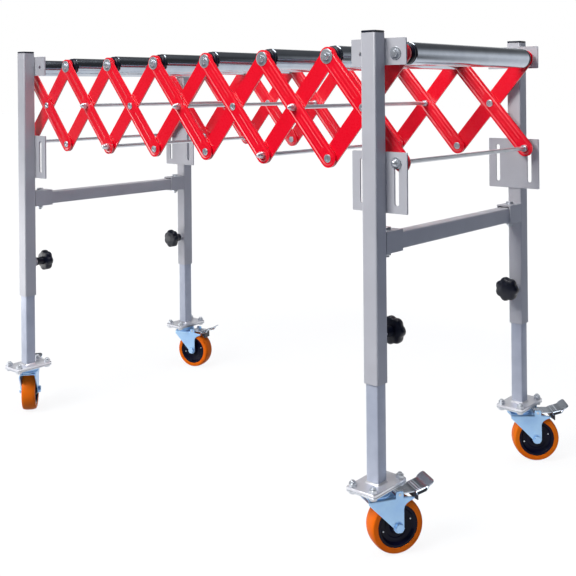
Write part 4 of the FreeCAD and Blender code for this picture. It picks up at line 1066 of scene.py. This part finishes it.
def add_floor():
    """Pale floor that keeps the shadow and lets what reaches below it show through.

    Reflections see it white near the table and behind it, and dark in front.
    """
    bpy.ops.mesh.primitive_plane_add(size=FLOOR_SIZE)
    floor = bpy.context.object
    floor.name = "floor"
    material = bpy.data.materials.new("floor_pale")
    material.use_nodes = True
    tree = material.node_tree
    tree.nodes.clear()
    place = tree.nodes.new("ShaderNodeTexCoord").outputs["Object"]
    path = tree.nodes.new("ShaderNodeLightPath")
    length = add_node(tree, "ShaderNodeVectorMath", operation="LENGTH")
    tree.links.new(place, length.inputs[0])
    distance = length.outputs["Value"]
    near = ranged(tree, distance, NEAR_FLOOR, (1, 0))
    reflected = add_math(tree, "MAXIMUM", near, behind_table(tree, place))
    seen = ranged(tree, distance, SHADOW_REACH, SHADOW_GLOW)
    glow = tree.nodes.new("ShaderNodeEmission")
    tree.links.new(either(tree, path.outputs["Is Camera Ray"], reflected, seen), glow.inputs["Strength"])
    bounce = add_node(tree, "ShaderNodeBsdfDiffuse", Color=FLOOR_BOUNCE)
    matte = add_node(tree, "ShaderNodeBsdfDiffuse", Color=FLOOR_PALE)
    clear = tree.nodes.new("ShaderNodeBsdfTransparent").outputs[0]
    paper = tree.nodes.new("ShaderNodeAddShader")
    tree.links.new(matte.outputs[0], paper.inputs[0])
    tree.links.new(glow.outputs[0], paper.inputs[1])
    veil = mix_shaders(tree, FLOOR_VEIL, clear, paper.outputs[0])
    shown = mix_shaders(tree, path.outputs["Is Camera Ray"], glow.outputs[0], veil)
    lit = mix_shaders(tree, seen_rays(tree, path), bounce.outputs[0], shown)
    surface = mix_shaders(tree, path.outputs["Is Shadow Ray"], lit, clear)
    output = tree.nodes.new("ShaderNodeOutputMaterial")
    tree.links.new(surface, output.inputs["Surface"])
    floor.data.materials.append(material)


def light_world():
    """White to the camera, white low behind the table in reflections, dim where it lights the object."""
    world = bpy.data.worlds.new("studio")
    bpy.context.scene.world = world
    world.use_nodes = True
    tree = world.node_tree
    tree.nodes.clear()
    direction = tree.nodes.new("ShaderNodeTexCoord").outputs["Generated"]
    split = tree.nodes.new("ShaderNodeSeparateXYZ")
    tree.links.new(direction, split.inputs["Vector"])
    fade = ranged(tree, split.outputs["Z"], HAZE_HEIGHT, HAZE_LEVEL)
    haze = add_math(tree, "MULTIPLY", behind_table(tree, direction), fade)
    path = tree.nodes.new("ShaderNodeLightPath")
    reflected = add_math(tree, "MAXIMUM", DARK_ROOM, haze)
    shown = either(tree, path.outputs["Is Camera Ray"], reflected, 1.0)
    is_seen = seen_rays(tree, path)
    level = either(tree, is_seen, FILL_LIGHT, shown)
    back = tree.nodes.new("ShaderNodeBackground")
    output = tree.nodes.new("ShaderNodeOutputWorld")
    tree.links.new(blend_colours(tree, is_seen, FILL_TINT, (1, 1, 1)), back.inputs["Color"])
    tree.links.new(level, back.inputs["Strength"])
    tree.links.new(back.outputs[0], output.inputs["Surface"])


def add_lamp(name, place, target, size, power, spread=180):
    """A rectangular lamp that looks from its place to a target."""
    lamp = bpy.data.lights.new(name, "AREA")
    lamp.spread = math.radians(spread)
    lamp.shape = "RECTANGLE"
    lamp.size, lamp.size_y = size
    lamp.energy = power
    holder = bpy.data.objects.new(name, lamp)
    bpy.context.scene.collection.objects.link(holder)
    aim = Vector(target) - Vector(place)
    holder.location = place
    holder.rotation_euler = aim.to_track_quat("-Z", "Y").to_euler()


def add_lights():
    """A key from the front, a broad top light, and a low strip at the left that draws the bars' rims."""
    add_lamp("key_front", (-0.2, -2.9, 3.0), (0.6, -0.2, 0.5), size=(1.8, 1.6), power=33, spread=80)
    add_lamp("top", (0.3, 0.2, 3.4), (0.3, 0, 0.6), size=(2.0, 2.0), power=60)
    add_lamp("edge_left", (-1.41, -0.59, 0.26), (-1.036, 0.337, 0.26), size=(1.3, 0.44), power=5.5)


# Camera fitted to the photograph: a level lens with the picture's horizon raised by a shift
IMAGE_SIZE = 576
FOCAL_PIXELS = 907.0
HORIZON_ROW = 90.5
CAMERA_PLACE = (1.4294, -1.5301, 0.7873)
CAMERA_YAW = 41.2
CAMERA_ROLL = 0.5


def turn_matrix(degrees, axis):
    """Matrix of a turn about an axis."""
    return Matrix.Rotation(math.radians(degrees), 4, axis)


def add_camera():
    """Camera at its fitted place, turned to its yaw, laid level and rolled a little."""
    lens = bpy.data.cameras.new("portrait")
    lens.sensor_width = 36
    lens.lens = FOCAL_PIXELS / IMAGE_SIZE * lens.sensor_width
    lens.shift_y = (HORIZON_ROW - IMAGE_SIZE / 2) / IMAGE_SIZE
    camera = bpy.data.objects.new("portrait", lens)
    camera.location = CAMERA_PLACE
    camera.rotation_mode = "YXZ"
    aim = turn_matrix(CAMERA_YAW, "Z") @ turn_matrix(90, "X") @ turn_matrix(-CAMERA_ROLL, "Z")
    camera.rotation_euler = aim.to_euler("YXZ")
    bpy.context.scene.collection.objects.link(camera)
    bpy.context.scene.camera = camera


add_bars()
add_pins()
add_rollers()
for end in ENDS:
    add_frame_trim(end)
for place in PLACES:
    add_knob(place)
    add_inner_leg(place)
    add_caster(place)
dress_legs()
add_floor()
light_world()
add_lights()
add_camera()
bpy.context.scene.view_settings.view_transform = "Standard"
